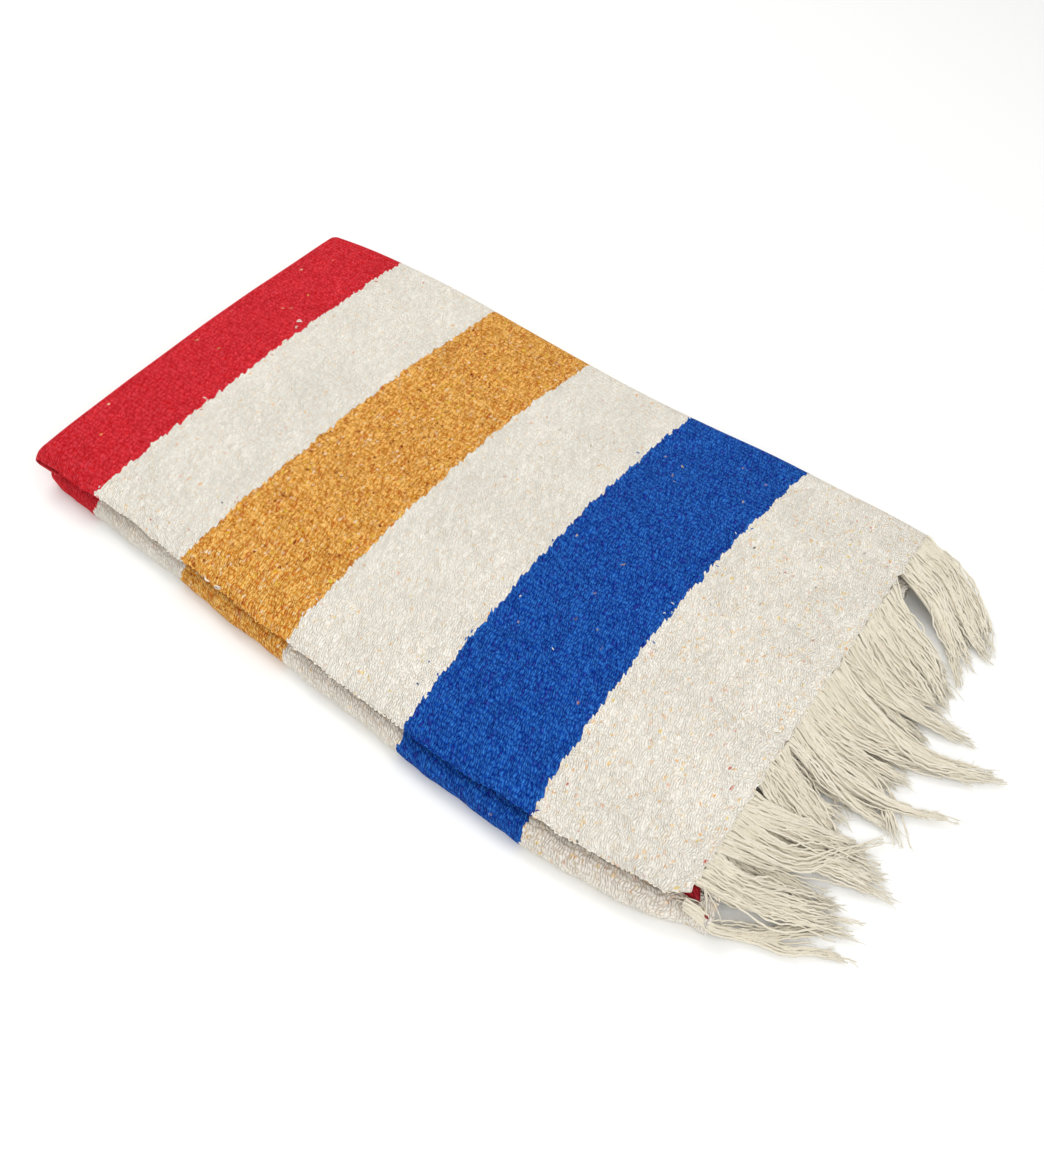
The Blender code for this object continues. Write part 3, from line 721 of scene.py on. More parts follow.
def add_node(tree: bpy.types.NodeTree, name: str, kind: str, inputs: dict[int | str, Any],
             operation: str = "", stops: tuple[tuple[float, tuple], ...] = (),
             **settings: Any) -> None:
    """Add a node with its settings and links.

    Args:
        tree: the material's node tree.
        name: the node's name, by which later nodes link to it.
        kind: Blender's name for the kind of node.
        inputs: a value for each input, or "node" or "node:output" for a link.
        operation: what a node of sums does.
        stops: a colour ramp's places and colours; each colour holds up to the next place.
        settings: the node's other settings.
    """
    node = tree.nodes.new(kind)
    node.name = node.label = name
    if operation:
        node.operation = operation
    for key, value in settings.items():
        setattr(node, key, value)
    if stops:
        node.color_ramp.interpolation = "CONSTANT"
    for k, (place, colour) in enumerate(stops):
        elements = node.color_ramp.elements
        element = elements[k] if k < len(elements) else elements.new(place)
        element.position = place
        element.color = colour
    for key, value in inputs.items():
        if isinstance(value, str):
            source, _, output = value.partition(":")
            outputs = tree.nodes[source].outputs
            found = outputs[int(output)] if output.isdigit() else outputs[output or 0]
            tree.links.new(found, node.inputs[key])
        else:
            node.inputs[key].default_value = value


def matt_material(
    name: str, roughness: float, specular: float, sheen: float = 0.0,
) -> tuple[bpy.types.Material, bpy.types.NodeTree, bpy.types.Node]:
    """Start a material whose surface is matt and takes its light softly.

    Args:
        name: the real material's name.
        roughness: how matt it is.
        specular: how much it shines.
        sheen: how much its loose fibres catch the light.

    Returns:
        The material, its node tree and its shader.
    """
    material = bpy.data.materials.new(name)
    material.use_nodes = True
    shader = material.node_tree.nodes["Principled BSDF"]
    for socket, value in (
        ("Metallic", 0.0),
        ("IOR", FIBRE_IOR),
        ("Roughness", roughness),
        ("Specular IOR Level", specular),
        ("Sheen Weight", sheen),
        ("Sheen Roughness", SHEEN_ROUGHNESS),
    ):
        shader.inputs[socket].default_value = value
    return material, material.node_tree, shader


@dataclass(frozen=True)
class YarnColour:
    """One dyed yarn's darkest, lightest and odd colour, and how much painted shade it takes between
    knuckles.

    odd is the colour of the few knuckles where another dye lot shows.
    """

    dark: str
    light: str
    odd: str
    # How much painted shade the yarn takes between its knuckles.
    between: float


# The last value of each yarn is its painted shade between knuckles.
YARN_COLOURS = {
    Yarn.RED: YarnColour("#C41A26", "#E84650", "#DE4854", 0.36),
    Yarn.CREAM: YarnColour("#E4DDD0", "#F7F3EA", "#F3E4D0", 0.34),
    Yarn.OCHRE: YarnColour("#C8842A", "#FED486", "#CC6A34", 0.72),
    Yarn.BLUE: YarnColour("#08398C", "#387CCE", "#30309A", 0.50),
}


# Colours of the other fibres that show as flecks, each from its share of the flecks upwards.
PALE_LINT = (
    (0.0, "#F1CD92"), (0.40, "#EEB878"), (0.60, "#E9BBA4"), (0.72, "#D3C9B4"),
    (0.84, "#EDD07A"), (0.972, "#C8402E"), (0.989, "#2E3646"),
)
OCHRE_LINT = (
    (0.0, "#F3E4CE"), (0.32, "#EAC44E"), (0.54, "#E0963C"), (0.70, "#A4602C"),
    (0.84, "#94402E"), (0.94, "#E6DC4A"), (0.97, "#8E4A34"),
)


@dataclass(frozen=True)
class WovenCotton:
    """Weft-faced plain weave of coarse recycled cotton, hand loomed.

    Each pick passes over two warp yarns and shows as a soft knuckle, so the eye
    sees a staggered grain of short leaning strokes, matt, with flecks of the
    other fibres that were respun with it. The knuckles are drawn a little
    larger than real ones, because those are too fine to show in the render.

    knuckle_length, knuckle_pitch, the drifts, the ramp's ends and edge_jag are
    in millimetres, and a scale is a count for each millimetre along and across.
    """

    name: str = "woven_recycled_cotton"
    knuckle_length: float = 3.9
    knuckle_pitch: float = 1.75
    knuckle_jitter: float = 0.46
    knuckle_power: float = 2.6
    knuckle_fall: float = 4.2
    slow_drift: tuple[float, float, float] = (5.0, 7.0, 0.0)
    quick_drift: tuple[float, float, float] = (2.6, 3.0, 0.0)
    fibre_scale: tuple[float, float, float] = (1.3, 0.5, 1.0)
    fleck_scale: tuple[float, float, float] = (0.42, 0.30, 1.0)
    relief: float = 0.0010
    ramp_from: float = -60.0
    ramp_to: float = 660.0
    edge_jag: float = 1.6
    undyed_below: float = 0.25
    # The brown of the painted shade under the front lip.
    lip_shade_brown: str = "#A88870"
    roughness: float = 0.92
    specular: float = 0.04
    sheen: float = 0.02

    def steps(self, colour_of: Callable[[Stripe], tuple]) -> tuple[tuple[float, tuple], ...]:
        """One step of a ramp for each stripe, by its distance from the folds."""
        span = self.ramp_to - self.ramp_from
        stops = [(0.0, colour_of(STRIPES[0]))]
        for stripe in STRIPES[1:]:
            stops.append(((stripe.begins - LEFT_END - self.ramp_from) / span, colour_of(stripe)))
        return tuple(stops)

    def lint_mix(self, yarn: Yarn) -> float:
        """How far a yarn's flecks are those of the ochre yarn: 0 for the undyed yarn."""
        return {Yarn.CREAM: 0.0, Yarn.OCHRE: 1.0}.get(yarn, 0.5)

    def build(self) -> bpy.types.Material:
        """Make the material.

        Returns:
            The woven cotton, which reads the cloth's own coordinates.
        """
        material, tree, shader = matt_material(
            self.name, self.roughness, self.specular, self.sheen)
        self.weave(tree)
        self.colour(tree)
        tree.links.new(tree.nodes["colour_with_shade"].outputs[0], shader.inputs["Base Color"])
        tree.links.new(tree.nodes["bump"].outputs[0], shader.inputs["Normal"])
        return material

    def weave(self, tree: bpy.types.NodeTree) -> None:
        """The staggered knuckles, as a height, and which knuckle each place is on."""
        add_node(tree, "uv", "ShaderNodeUVMap", {}, uv_map=CLOTH_UV)
        add_node(tree, "mm", VECTOR, {0: "uv", "Scale": 1000.0}, "SCALE")
        add_node(tree, "slow", NOISE, {"Vector": "mm", "Scale": 0.05, "Detail": 2.0})
        add_node(tree, "slow_mid", VECTOR, {0: "slow:Color", 1: (0.5, 0.5, 0.5)}, "SUBTRACT")
        add_node(tree, "quick", NOISE, {"Vector": "mm", "Scale": 0.16, "Detail": 1.0})
        add_node(tree, "quick_mid", VECTOR, {0: "quick:Color", 1: (0.5, 0.5, 0.5)}, "SUBTRACT")
        add_node(tree, "drift", VECTOR,
                 {0: "slow_mid", 1: self.slow_drift, 2: "mm"}, "MULTIPLY_ADD")
        add_node(tree, "place", VECTOR,
                 {0: "quick_mid", 1: self.quick_drift, 2: "drift"}, "MULTIPLY_ADD")
        add_node(tree, "xy", SPLIT_XYZ, {0: "place"})
        add_node(tree, "across", MATH, {0: "xy:Y", 1: 1.0 / self.knuckle_length}, "MULTIPLY")
        add_node(tree, "pitch", MATH, {0: "xy:X", 1: 1.0 / self.knuckle_pitch}, "MULTIPLY")
        add_node(tree, "stagger", MATH, {0: "across", 1: 0.5, 2: "pitch"}, "MULTIPLY_ADD")
        add_node(tree, "lattice", "ShaderNodeCombineXYZ", {0: "stagger", 1: "across"})
        add_node(tree, "picks", VORONOI,
                 {"Vector": "lattice", "Scale": 1.0, "Randomness": self.knuckle_jitter},
                 voronoi_dimensions="2D")
        add_node(tree, "lots", SPLIT_COLOUR, {0: "picks:Color"})
        add_node(tree, "off_centre", MATH, {0: "picks:Distance", 1: self.knuckle_power}, "POWER")
        add_node(tree, "knuckle", MATH,
                 {0: "off_centre", 1: -self.knuckle_fall, 2: 1.0}, "MULTIPLY_ADD", use_clamp=True)
        add_node(tree, "fibre_place", VECTOR, {0: "place", 1: self.fibre_scale}, "MULTIPLY")
        add_node(tree, "fibres", NOISE,
                 {"Vector": "fibre_place", "Scale": 1.0, "Detail": 2.0, "Distortion": 0.6})
        add_node(tree, "thick", MATH, {0: "lots:Red", 1: 0.4, 2: 0.8}, "MULTIPLY_ADD")
        add_node(tree, "sized", MATH, {0: "knuckle", 1: "thick"}, "MULTIPLY")
        add_node(tree, "height", MATH, {0: "fibres", 1: 0.7, 2: "sized"}, "MULTIPLY_ADD")
        add_node(tree, "bump", "ShaderNodeBump",
                 {"Strength": 1.0, "Distance": self.relief, "Height": "height"})

    def colour(self, tree: bpy.types.NodeTree) -> None:
        """The stripes' colours, knuckle by knuckle, with their flecks."""
        # Each knuckle takes its stripe from its own centre, so the edges are jagged.
        add_node(tree, "centre", SPLIT_XYZ, {0: "picks:Position"})
        add_node(tree, "centre_row", MATH, {0: "centre:Y", 1: -0.5, 2: "centre:X"}, "MULTIPLY_ADD")
        add_node(tree, "centre_mm", MATH, {0: "centre_row", 1: self.knuckle_pitch}, "MULTIPLY")
        add_node(tree, "jag", MATH,
                 {0: "lots:Green", 1: self.edge_jag, 2: "centre_mm"}, "MULTIPLY_ADD")
        add_node(tree, "ramp_at", MAP_RANGE,
                 {"Value": "jag", "From Min": self.ramp_from + 0.5 * self.edge_jag,
                  "From Max": self.ramp_to + 0.5 * self.edge_jag})
        # The recipe carries each stripe's share of flecks, its lint mix and its painted shade
        # between knuckles.
        for name, colour_of in (
            ("dark", lambda stripe: linear(YARN_COLOURS[stripe.yarn].dark)),
            ("light", lambda stripe: linear(YARN_COLOURS[stripe.yarn].light)),
            ("recipe", lambda stripe: (stripe.lint, self.lint_mix(stripe.yarn),
                                       YARN_COLOURS[stripe.yarn].between, 1.0)),
            ("odd", lambda stripe: linear(YARN_COLOURS[stripe.yarn].odd)),
        ):
            add_node(tree, name, RAMP, {"Fac": "ramp_at"}, stops=self.steps(colour_of))

        # A tone between the yarn's dark and light for each knuckle, with a few of another lot.
        add_node(tree, "recipes", SPLIT_COLOUR, {0: "recipe"})
        add_node(tree, "tone_mid", MATH, {0: "lots:Blue", 1: 0.26, 2: "fibres"}, "MULTIPLY_ADD")
        add_node(tree, "tone", MAP_RANGE, {"Value": "tone_mid", "From Min": 0.40, "From Max": 0.86})
        add_node(tree, "plain", MIX, {0: "tone", 6: "dark", 7: "light"}, data_type="RGBA")
        add_node(tree, "other_lot", MAP_RANGE,
                 {"Value": "lots:Red", "From Min": 0.90, "From Max": 0.96, "To Max": 0.55})
        add_node(tree, "dyed", MIX, {0: "other_lot", 6: "plain:2", 7: "odd"}, data_type="RGBA")

        # Flecks of other fibres, ragged at their edges.
        add_node(tree, "fleck_place", VECTOR, {0: "place", 1: self.fleck_scale}, "MULTIPLY")
        add_node(tree, "fleck", VORONOI,
                 {"Vector": "fleck_place", "Scale": 1.0}, voronoi_dimensions="2D")
        add_node(tree, "fleck_lots", SPLIT_COLOUR, {0: "fleck:Color"})
        add_node(tree, "chosen", MATH, {0: "fleck_lots:Red", 1: "recipes:Red"}, "LESS_THAN")
        add_node(tree, "ragged", MATH, {0: "fibres", 1: 1.1, 2: "fleck:Distance"}, "MULTIPLY_ADD")
        add_node(tree, "small", MAP_RANGE,
                 {"Value": "ragged", "From Min": 0.80, "From Max": 1.22, "To Min": 1.0,
                  "To Max": 0.0})
        add_node(tree, "spot", MATH, {0: "chosen", 1: "small"}, "MULTIPLY")
        add_node(tree, "strength", MATH, {0: "fleck_lots:Blue", 1: 1.6}, "POWER")
        add_node(tree, "some", MATH, {0: "strength", 1: 0.62, 2: 0.26}, "MULTIPLY_ADD")
        add_node(tree, "share", MATH, {0: "spot", 1: "some"}, "MULTIPLY")
        for name, lints in (("pale_lint", PALE_LINT), ("ochre_lint", OCHRE_LINT)):
            add_node(tree, name, RAMP, {"Fac": "fleck_lots:Green"},
                     stops=tuple((place, linear(colour)) for place, colour in lints))
        add_node(tree, "lint", MIX,
                 {0: "recipes:Green", 6: "pale_lint", 7: "ochre_lint"}, data_type="RGBA")
        add_node(tree, "flecked", MIX, {0: "share", 6: "dyed:2", 7: "lint:2"}, data_type="RGBA")

        # Zones of the folded blanket where shade is painted: under the front lip, and inside the
        # woven end.
        add_node(tree, "object", "ShaderNodeTexCoord", {})
        add_node(tree, "object_xyz", SPLIT_XYZ, {0: "object:Object"})
        for name, axis, none_at, full_at in (
            ("above", "Z", 0.012, 0.020),
            ("below", "Z", 0.0240, 0.0225),
            ("in_front", "Y", -0.174, -0.182),
            ("inside_end", "X", 0.270, 0.280),
        ):
            add_node(tree, name, MAP_RANGE,
                     {"Value": "object_xyz:" + axis, "From Min": none_at, "From Max": full_at})
        add_node(tree, "undyed", MATH, {0: "recipes:Green", 1: self.undyed_below}, "LESS_THAN")
        add_node(tree, "band", MATH, {0: "above", 1: "below"}, "MULTIPLY")
        add_node(tree, "band_front", MATH, {0: "band", 1: "in_front"}, "MULTIPLY")
        add_node(tree, "band_undyed", MATH, {0: "band_front", 1: "undyed"}, "MULTIPLY")
        # Painted shade under the front lip: the undyed cloth there takes a warm brown shade, more
        # between the knuckles, and every yarn there is darkened a little.
        add_node(tree, "brown_tone", MAP_RANGE,
                 {"Value": "knuckle", "To Min": 0.32, "To Max": 0.10})
        add_node(tree, "brown_share", MATH, {0: "band_undyed", 1: "brown_tone"}, "MULTIPLY")
        add_node(tree, "browned", MIX,
                 {0: "brown_share", 6: "flecked:2", 7: linear(self.lip_shade_brown)}, data_type="RGBA")
        add_node(tree, "band_shade", MAP_RANGE,
                 {"Value": "band_front", "To Min": 1.0, "To Max": 0.92})

        # Painted shade: the colour is deepened between the knuckles, where their hollows lie in
        # shade, and darkened on the dyed folds enclosed inside the woven end.
        add_node(tree, "sunk", MATH, {0: 1.0, 1: "knuckle"}, "SUBTRACT")
        add_node(tree, "depth", MATH, {0: "sunk", 1: "recipes:Blue", 2: 1.0}, "MULTIPLY_ADD")
        add_node(tree, "deepened", "ShaderNodeGamma", {"Color": "browned:2", "Gamma": "depth"})
        add_node(tree, "cloudy", NOISE, {"Vector": "mm", "Scale": 0.018, "Detail": 3.0})
        add_node(tree, "cloud", MAP_RANGE,
                 {"Value": "cloudy", "From Min": 0.3, "From Max": 0.7, "To Min": 0.95,
                  "To Max": 1.04})
        # Painted shade: the dyed folds inside the woven end are darkened as though they lay in the
        # stack's shade.
        add_node(tree, "dyed_there", MATH,
                 {0: "recipes:Green", 1: self.undyed_below}, "GREATER_THAN")
        add_node(tree, "enclosed", MATH, {0: "inside_end", 1: "dyed_there"}, "MULTIPLY")
        add_node(tree, "enclosed_shade", MAP_RANGE,
                 {"Value": "enclosed", "To Min": 1.0, "To Max": 0.42})
        add_node(tree, "open_shade", MATH, {0: "cloud", 1: "band_shade"}, "MULTIPLY")
        add_node(tree, "shade", MATH, {0: "open_shade", 1: "enclosed_shade"}, "MULTIPLY")
        # The colour with its painted shade and its cloudy tone.
        add_node(tree, "colour_with_shade", VECTOR, {0: "deepened", "Scale": "shade"}, "SCALE")


@dataclass(frozen=True)
class WarpYarn:
    """Undyed two-ply cotton warp, loosely twisted: fine slanting plies, soft and matt."""

    name: str = "undyed_warp_yarn"
    ply_pitch: float = 3.0
    ply_depth: float = 0.00025
    fibre_scale: tuple[float, float, float] = (700.0, 3.0, 1.0)
    dark: str = "#DAD1BC"
    light: str = "#E9E2D0"
    roughness: float = 0.9
    specular: float = 0.05
    sheen: float = 0.35

    def build(self) -> bpy.types.Material:
        """Make the material.

        Returns:
            The warp yarn, which reads each yarn's own length and turn.
        """
        material, tree, shader = matt_material(
            self.name, self.roughness, self.specular, self.sheen)
        add_node(tree, "uv", "ShaderNodeUVMap", {}, uv_map=YARN_UV)
        add_node(tree, "xy", SPLIT_XYZ, {0: "uv"})
        add_node(tree, "number", MATH, {0: "xy:Y"}, "FLOOR")
        add_node(tree, "lot", "ShaderNodeTexWhiteNoise", {"W": "number"}, noise_dimensions="1D")
        add_node(tree, "ply", MATH,
                 {0: "xy:X", 1: 1000.0 / self.ply_pitch, 2: "xy:Y"}, "MULTIPLY_ADD")
        add_node(tree, "turn", MATH, {0: "ply", 1: 4.0 * math.pi}, "MULTIPLY")
        add_node(tree, "wave", MATH, {0: "turn"}, "SINE")
        add_node(tree, "fibre_place", VECTOR, {0: "uv", 1: self.fibre_scale}, "MULTIPLY")
        add_node(tree, "fibres", NOISE, {"Vector": "fibre_place", "Scale": 1.0, "Detail": 2.0})
        add_node(tree, "height", MATH, {0: "wave", 1: 0.35, 2: "fibres"}, "MULTIPLY_ADD")
        add_node(tree, "bump", "ShaderNodeBump",
                 {"Strength": 0.8, "Distance": self.ply_depth, "Height": "height"})
        add_node(tree, "tone_mid", MATH, {0: "lot:Value", 1: 0.45, 2: "fibres"}, "MULTIPLY_ADD")
        # Painted shade: the colour is a little darker in the grooves between the plies, where the
        # bump is low.
        add_node(tree, "tone_ply", MATH, {0: "wave", 1: 0.10, 2: "tone_mid"}, "MULTIPLY_ADD")
        add_node(tree, "tone", MAP_RANGE, {"Value": "tone_ply", "From Min": 0.3, "From Max": 1.1})
        add_node(tree, "colour", MIX,
                 {0: "tone", 6: linear(self.dark), 7: linear(self.light)}, data_type="RGBA")
        tree.links.new(tree.nodes["colour"].outputs[2], shader.inputs["Base Color"])
        tree.links.new(tree.nodes["bump"].outputs[0], shader.inputs["Normal"])
        return material


@dataclass(frozen=True)
class StudioPaper:
    """Seamless white background paper: smooth, matt and pale."""

    name: str = "white_background_paper"
    colour: str = "#F4F4F2"
    roughness: float = 0.9
    specular: float = 0.1

    def build(self) -> bpy.types.Material:
        """Make the material.

        Returns:
            The paper.
        """
        material, _, shader = matt_material(self.name, self.roughness, self.specular)
        shader.inputs["Base Color"].default_value = linear(self.colour)
        return material


def dress(piece: bpy.types.Object, material: bpy.types.Material, slot: str, *nodes: str) -> None:
    """Give a finished piece its material, its body and the CAD nodes it stands for.

    Args:
        piece: the finished piece.
        material: what it is made of.
        slot: the record's material slot; not used.
        nodes: the CAD nodes that it replaces.
    """
    piece.data.materials.append(material)
    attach(piece, BODY)
    if nodes:
        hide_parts(*nodes)
    triangles = sum(len(polygon.vertices) - 2 for polygon in piece.data.polygons)
    LOG.info("%s: %d triangles", piece.name, triangles)


@dataclass
class OuterCloth:
    """The outermost layer of cloth, which shows all round the stack."""

    stack: FoldedStack
    column_pitch: float = 3.7 * MM
    leg_columns: int = 4
    fold_columns: int = 14
    sections_from: float = -325.0 * MM
    sections_to: float = 320.0 * MM
    sections: int = 431
    line_passes: int = 3
    surface: ClothSurface = field(init=False)

    def __post_init__(self) -> None:
        """Lay the cloth over the stack."""
        self.surface = self.lay()

    def lay(self) -> ClothSurface:
        """Work out the cloth's outer face.

        Returns:
            The surface, from the legs of the left fold to the woven end.
        """
        stack = self.stack
        places = np.linspace(self.sections_from, self.sections_to, self.sections)
        section = stack.section(places)
        rows = section.y.shape[1]
        r_all = np.arange(rows)

        def read(values: np.ndarray, x: np.ndarray) -> np.ndarray:
            """A section's values at an x for each row."""
            at = np.clip((x - places[0]) / (places[1] - places[0]), 0.0, len(places) - 1.001)
            low = at.astype(int)
            share = at - low
            return values[low, r_all] * (1.0 - share) + values[low + 1, r_all] * share

        lower = section.lower[0]
        corner_y = read(section.y, np.full(rows, LEFT_END * MM))
        start = stack.left_line(corner_y, lower)
        turn_x = start + stack.fold_reach
        y, z = read(section.y, turn_x), read(section.z, turn_x)
        in_y, in_z = read(section.inward_y, turn_x), read(section.inward_z, turn_x)
        bundle = read(section.bundle, turn_x)
        leg_x = np.full(rows, stack.leg_end)
        leg = [read(values, leg_x) for values in (
            section.y, section.z, section.inward_y, section.inward_z, section.bundle)]
        leg_point = np.stack([leg_x, leg[0] + leg[2] * leg[4], leg[1] + leg[3] * leg[4]], axis=-1)
        turn_point = np.stack([turn_x, y + in_y * bundle, z + in_z * bundle], axis=-1)
        columns = [leg_point + (turn_point - leg_point) * k / self.leg_columns
                   for k in range(self.leg_columns)]
        for k in range(self.fold_columns):
            turn = math.pi * (1.0 - k / self.fold_columns)
            depth = 0.5 * bundle * (1.0 - math.cos(turn))
            x = start + stack.fold_reach * (1.0 - math.sin(turn))
            columns.append(np.stack([x, y + in_y * depth, z + in_z * depth], axis=-1))
        first_u = (STRIPES[0].begins - LEFT_END) * MM
        begins = [stripe.begins for stripe in (*STRIPES, END_LINE)]
        flat_u = []
        for index in range(len(STRIPES)):
            span = (begins[index + 1] - begins[index]) * MM
            count = max(2, round(span / self.column_pitch))
            last = index == len(STRIPES) - 1
            for k in range(count + 1 if last else count):
                share = k / count
                x = np.full(rows, (begins[index] * MM) + span * share)
                for _ in range(self.line_passes):
                    y = read(section.y, x)
                    near = stack.line(index, y, lower)
                    far = stack.line(index + 1, y, lower)
                    x = near + (far - near) * share
                columns.append(np.stack([x, read(section.y, x), read(section.z, x)], axis=-1))
                flat_u.append((begins[index] - LEFT_END) * MM + span * share)
        points = np.stack(columns, axis=1)
        folded = self.leg_columns + self.fold_columns
        steps = np.linalg.norm(np.diff(points[:, :folded + 1], axis=1), axis=2).mean(axis=0)
        u = list(first_u - np.cumsum(steps[::-1])[::-1]) + flat_u
        across = np.linalg.norm(np.diff(points, axis=0), axis=2)
        v = np.concatenate([np.zeros((1, points.shape[1])), np.cumsum(across, axis=0)])
        v[:, :folded] = v[:, folded:folded + 1]
        return ClothSurface(points, np.array(u), v)

    def build(self, material: bpy.types.Material) -> bpy.types.Object:
        """Args:
            material: the woven cotton.

        Returns:
            The finished cloth.
        """
        cloth = ClothShell().build("outer_cloth", self.surface)
        dress(cloth, material, "striped_cotton", "top_stretch", "underside_stretch")
        return cloth


@dataclass(frozen=True)
class Tuft:
    """A stray tuft of weft as the photograph shows it, in millimetres and degrees.

    yarn_x is a place along the blanket whose stripe has the tuft's yarn.
    """

    x: float
    y: float
    length: float
    turn: float
    yarn_x: float
    yarns: int


TUFTS = (
    Tuft(-255, 58, 6, 20, -220, 3),
    Tuft(-252, 52, 4, 110, -220, 2),
    Tuft(-254, -60, 4, 40, -220, 1),
    Tuft(-250, -168, 5, 0, -220, 2),
    Tuft(-149, -184, 7, 35, -200, 2),
    Tuft(-143, -181, 6, -20, -200, 2),
    Tuft(-137, -187, 9, 10, -200, 3),
    Tuft(-127, -190, 7, -15, -200, 2),
    Tuft(-116, -191, 9, 5, -200, 3),
    Tuft(58, -171, 1.6, 30, 110, 1),
    Tuft(52, -150, 1.4, 80, 110, 1),
    Tuft(70, -66, 2.5, 45, -200, 1),
    Tuft(118, -89, 3, 0, -200, 1),
    Tuft(175, -149, 4, 20, -20, 2),
    Tuft(171, -120, 3.5, 75, -20, 1),
    Tuft(181, 120, 4, 10, -20, 1),
    Tuft(307, -187, 4, 20, -290, 2),
)


@dataclass
class StrayLoops:
    """Small loops and tufts of weft that stand off the outer cloth."""

    surface: ClothSurface
    rows: int
    seed: int = 11
    radius: float = 0.5 * MM
    steps: int = 9
    selvage_pitch: float = 2.6 * MM
    selvage_from: float = 30.0 * MM
    selvage_to: float = 4.0 * MM
    tufts_per_line: int = 12
    tufts_above: float = 12.0 * MM

    def __post_init__(self) -> None:
        """Start the random numbers."""
        self.rng = np.random.default_rng(self.seed)

    def loop(self, spinner: YarnSpinner, at: tuple[int, int], length: float, turn: float,
             height: float, spot: tuple[float, float]) -> None:
        """Stand one loop on the cloth.

        Args:
            spinner: collects the loops.
            at: the row and column of the cloth where it stands.
            length: how far apart its feet are.
            turn: which way it lies, in degrees from the blanket's length.
            height: how far it stands off.
            spot: the place on the cloth that has its yarn.
        """
        normal = self.surface.normals[at]
        along = unit(np.array([math.cos(math.radians(turn)), math.sin(math.radians(turn)), 0.0]))
        along = unit(along - normal * (along @ normal))
        side = np.cross(normal, along)
        t = np.linspace(0.0, 1.0, self.steps)
        bend = self.rng.choice((-1.0, 1.0)) * self.rng.uniform(0.05, 0.28) * length
        centre = (self.surface.points[at]
                  + along * ((t - 0.5) * length)[:, None]
                  + side * (bend * np.sin(math.pi * t))[:, None]
                  + normal * (height * np.sin(math.pi * t) - 0.3 * self.radius)[:, None])
        radius = self.radius * self.rng.uniform(0.75, 1.15) * (0.55 + 0.45 * np.sin(math.pi * t))
        spinner.add(centre, radius, spot)

    def build(self, material: bpy.types.Material) -> bpy.types.Object:
        """Make all the loops as one piece.

        Args:
            material: the woven cotton.

        Returns:
            The finished loops.
        """
        surface, rng = self.surface, self.rng
        spinner = YarnSpinner()
        last = len(surface.u) - 1
        start = surface.points[0, :, 0]
        first_x, last_x = start.min() + self.selvage_from, start.max() - self.selvage_to
        for x in np.arange(first_x, last_x, self.selvage_pitch):
            column = int(np.argmin(np.abs(start - x - rng.uniform(-0.6, 0.6) * MM)))
            spot = (float(surface.u[column]) + rng.uniform(-1.0, 1.0) * MM, rng.uniform(0.0, 0.3))
            self.loop(spinner, (0, column), rng.uniform(2.2, 3.8) * MM, rng.uniform(-15.0, 15.0),
                      rng.uniform(0.2, 0.8) * MM, spot)
        for stripe in STRIPES[1:]:
            line = (stripe.begins - LEFT_END) * MM
            column = int(np.argmin(np.abs(surface.u - line)))
            for row in rng.integers(2, self.rows, self.tufts_per_line):
                beyond = rng.choice((-1.0, 1.0)) * rng.uniform(5.0, 20.0) * MM
                at = (int(row), int(np.clip(column + rng.integers(-1, 2), 0, last)))
                self.loop(spinner, at, rng.uniform(1.8, 3.4) * MM, rng.uniform(0.0, 180.0),
                          rng.uniform(0.2, 0.9) * MM, (line + beyond, rng.uniform(0.0, 0.3)))
        for tuft in TUFTS:
            x, y, z = np.moveaxis(surface.points, -1, 0)
            away = np.hypot(x - tuft.x * MM, y - tuft.y * MM) + (z < self.tufts_above)
            at = np.unravel_index(int(np.argmin(away)), away.shape)
            for _ in range(tuft.yarns):
                self.loop(spinner, at, tuft.length * rng.uniform(0.6, 1.0) * MM,
                          tuft.turn + rng.uniform(-35.0, 35.0), rng.uniform(0.6, 1.6) * MM,
                          ((tuft.yarn_x - LEFT_END) * MM + rng.uniform(-5.0, 5.0) * MM,
                           rng.uniform(0.0, 0.3)))
        piece = spinner.build("stray_loops", CLOTH_UV)
        dress(piece, material, "striped_cotton")
        return piece


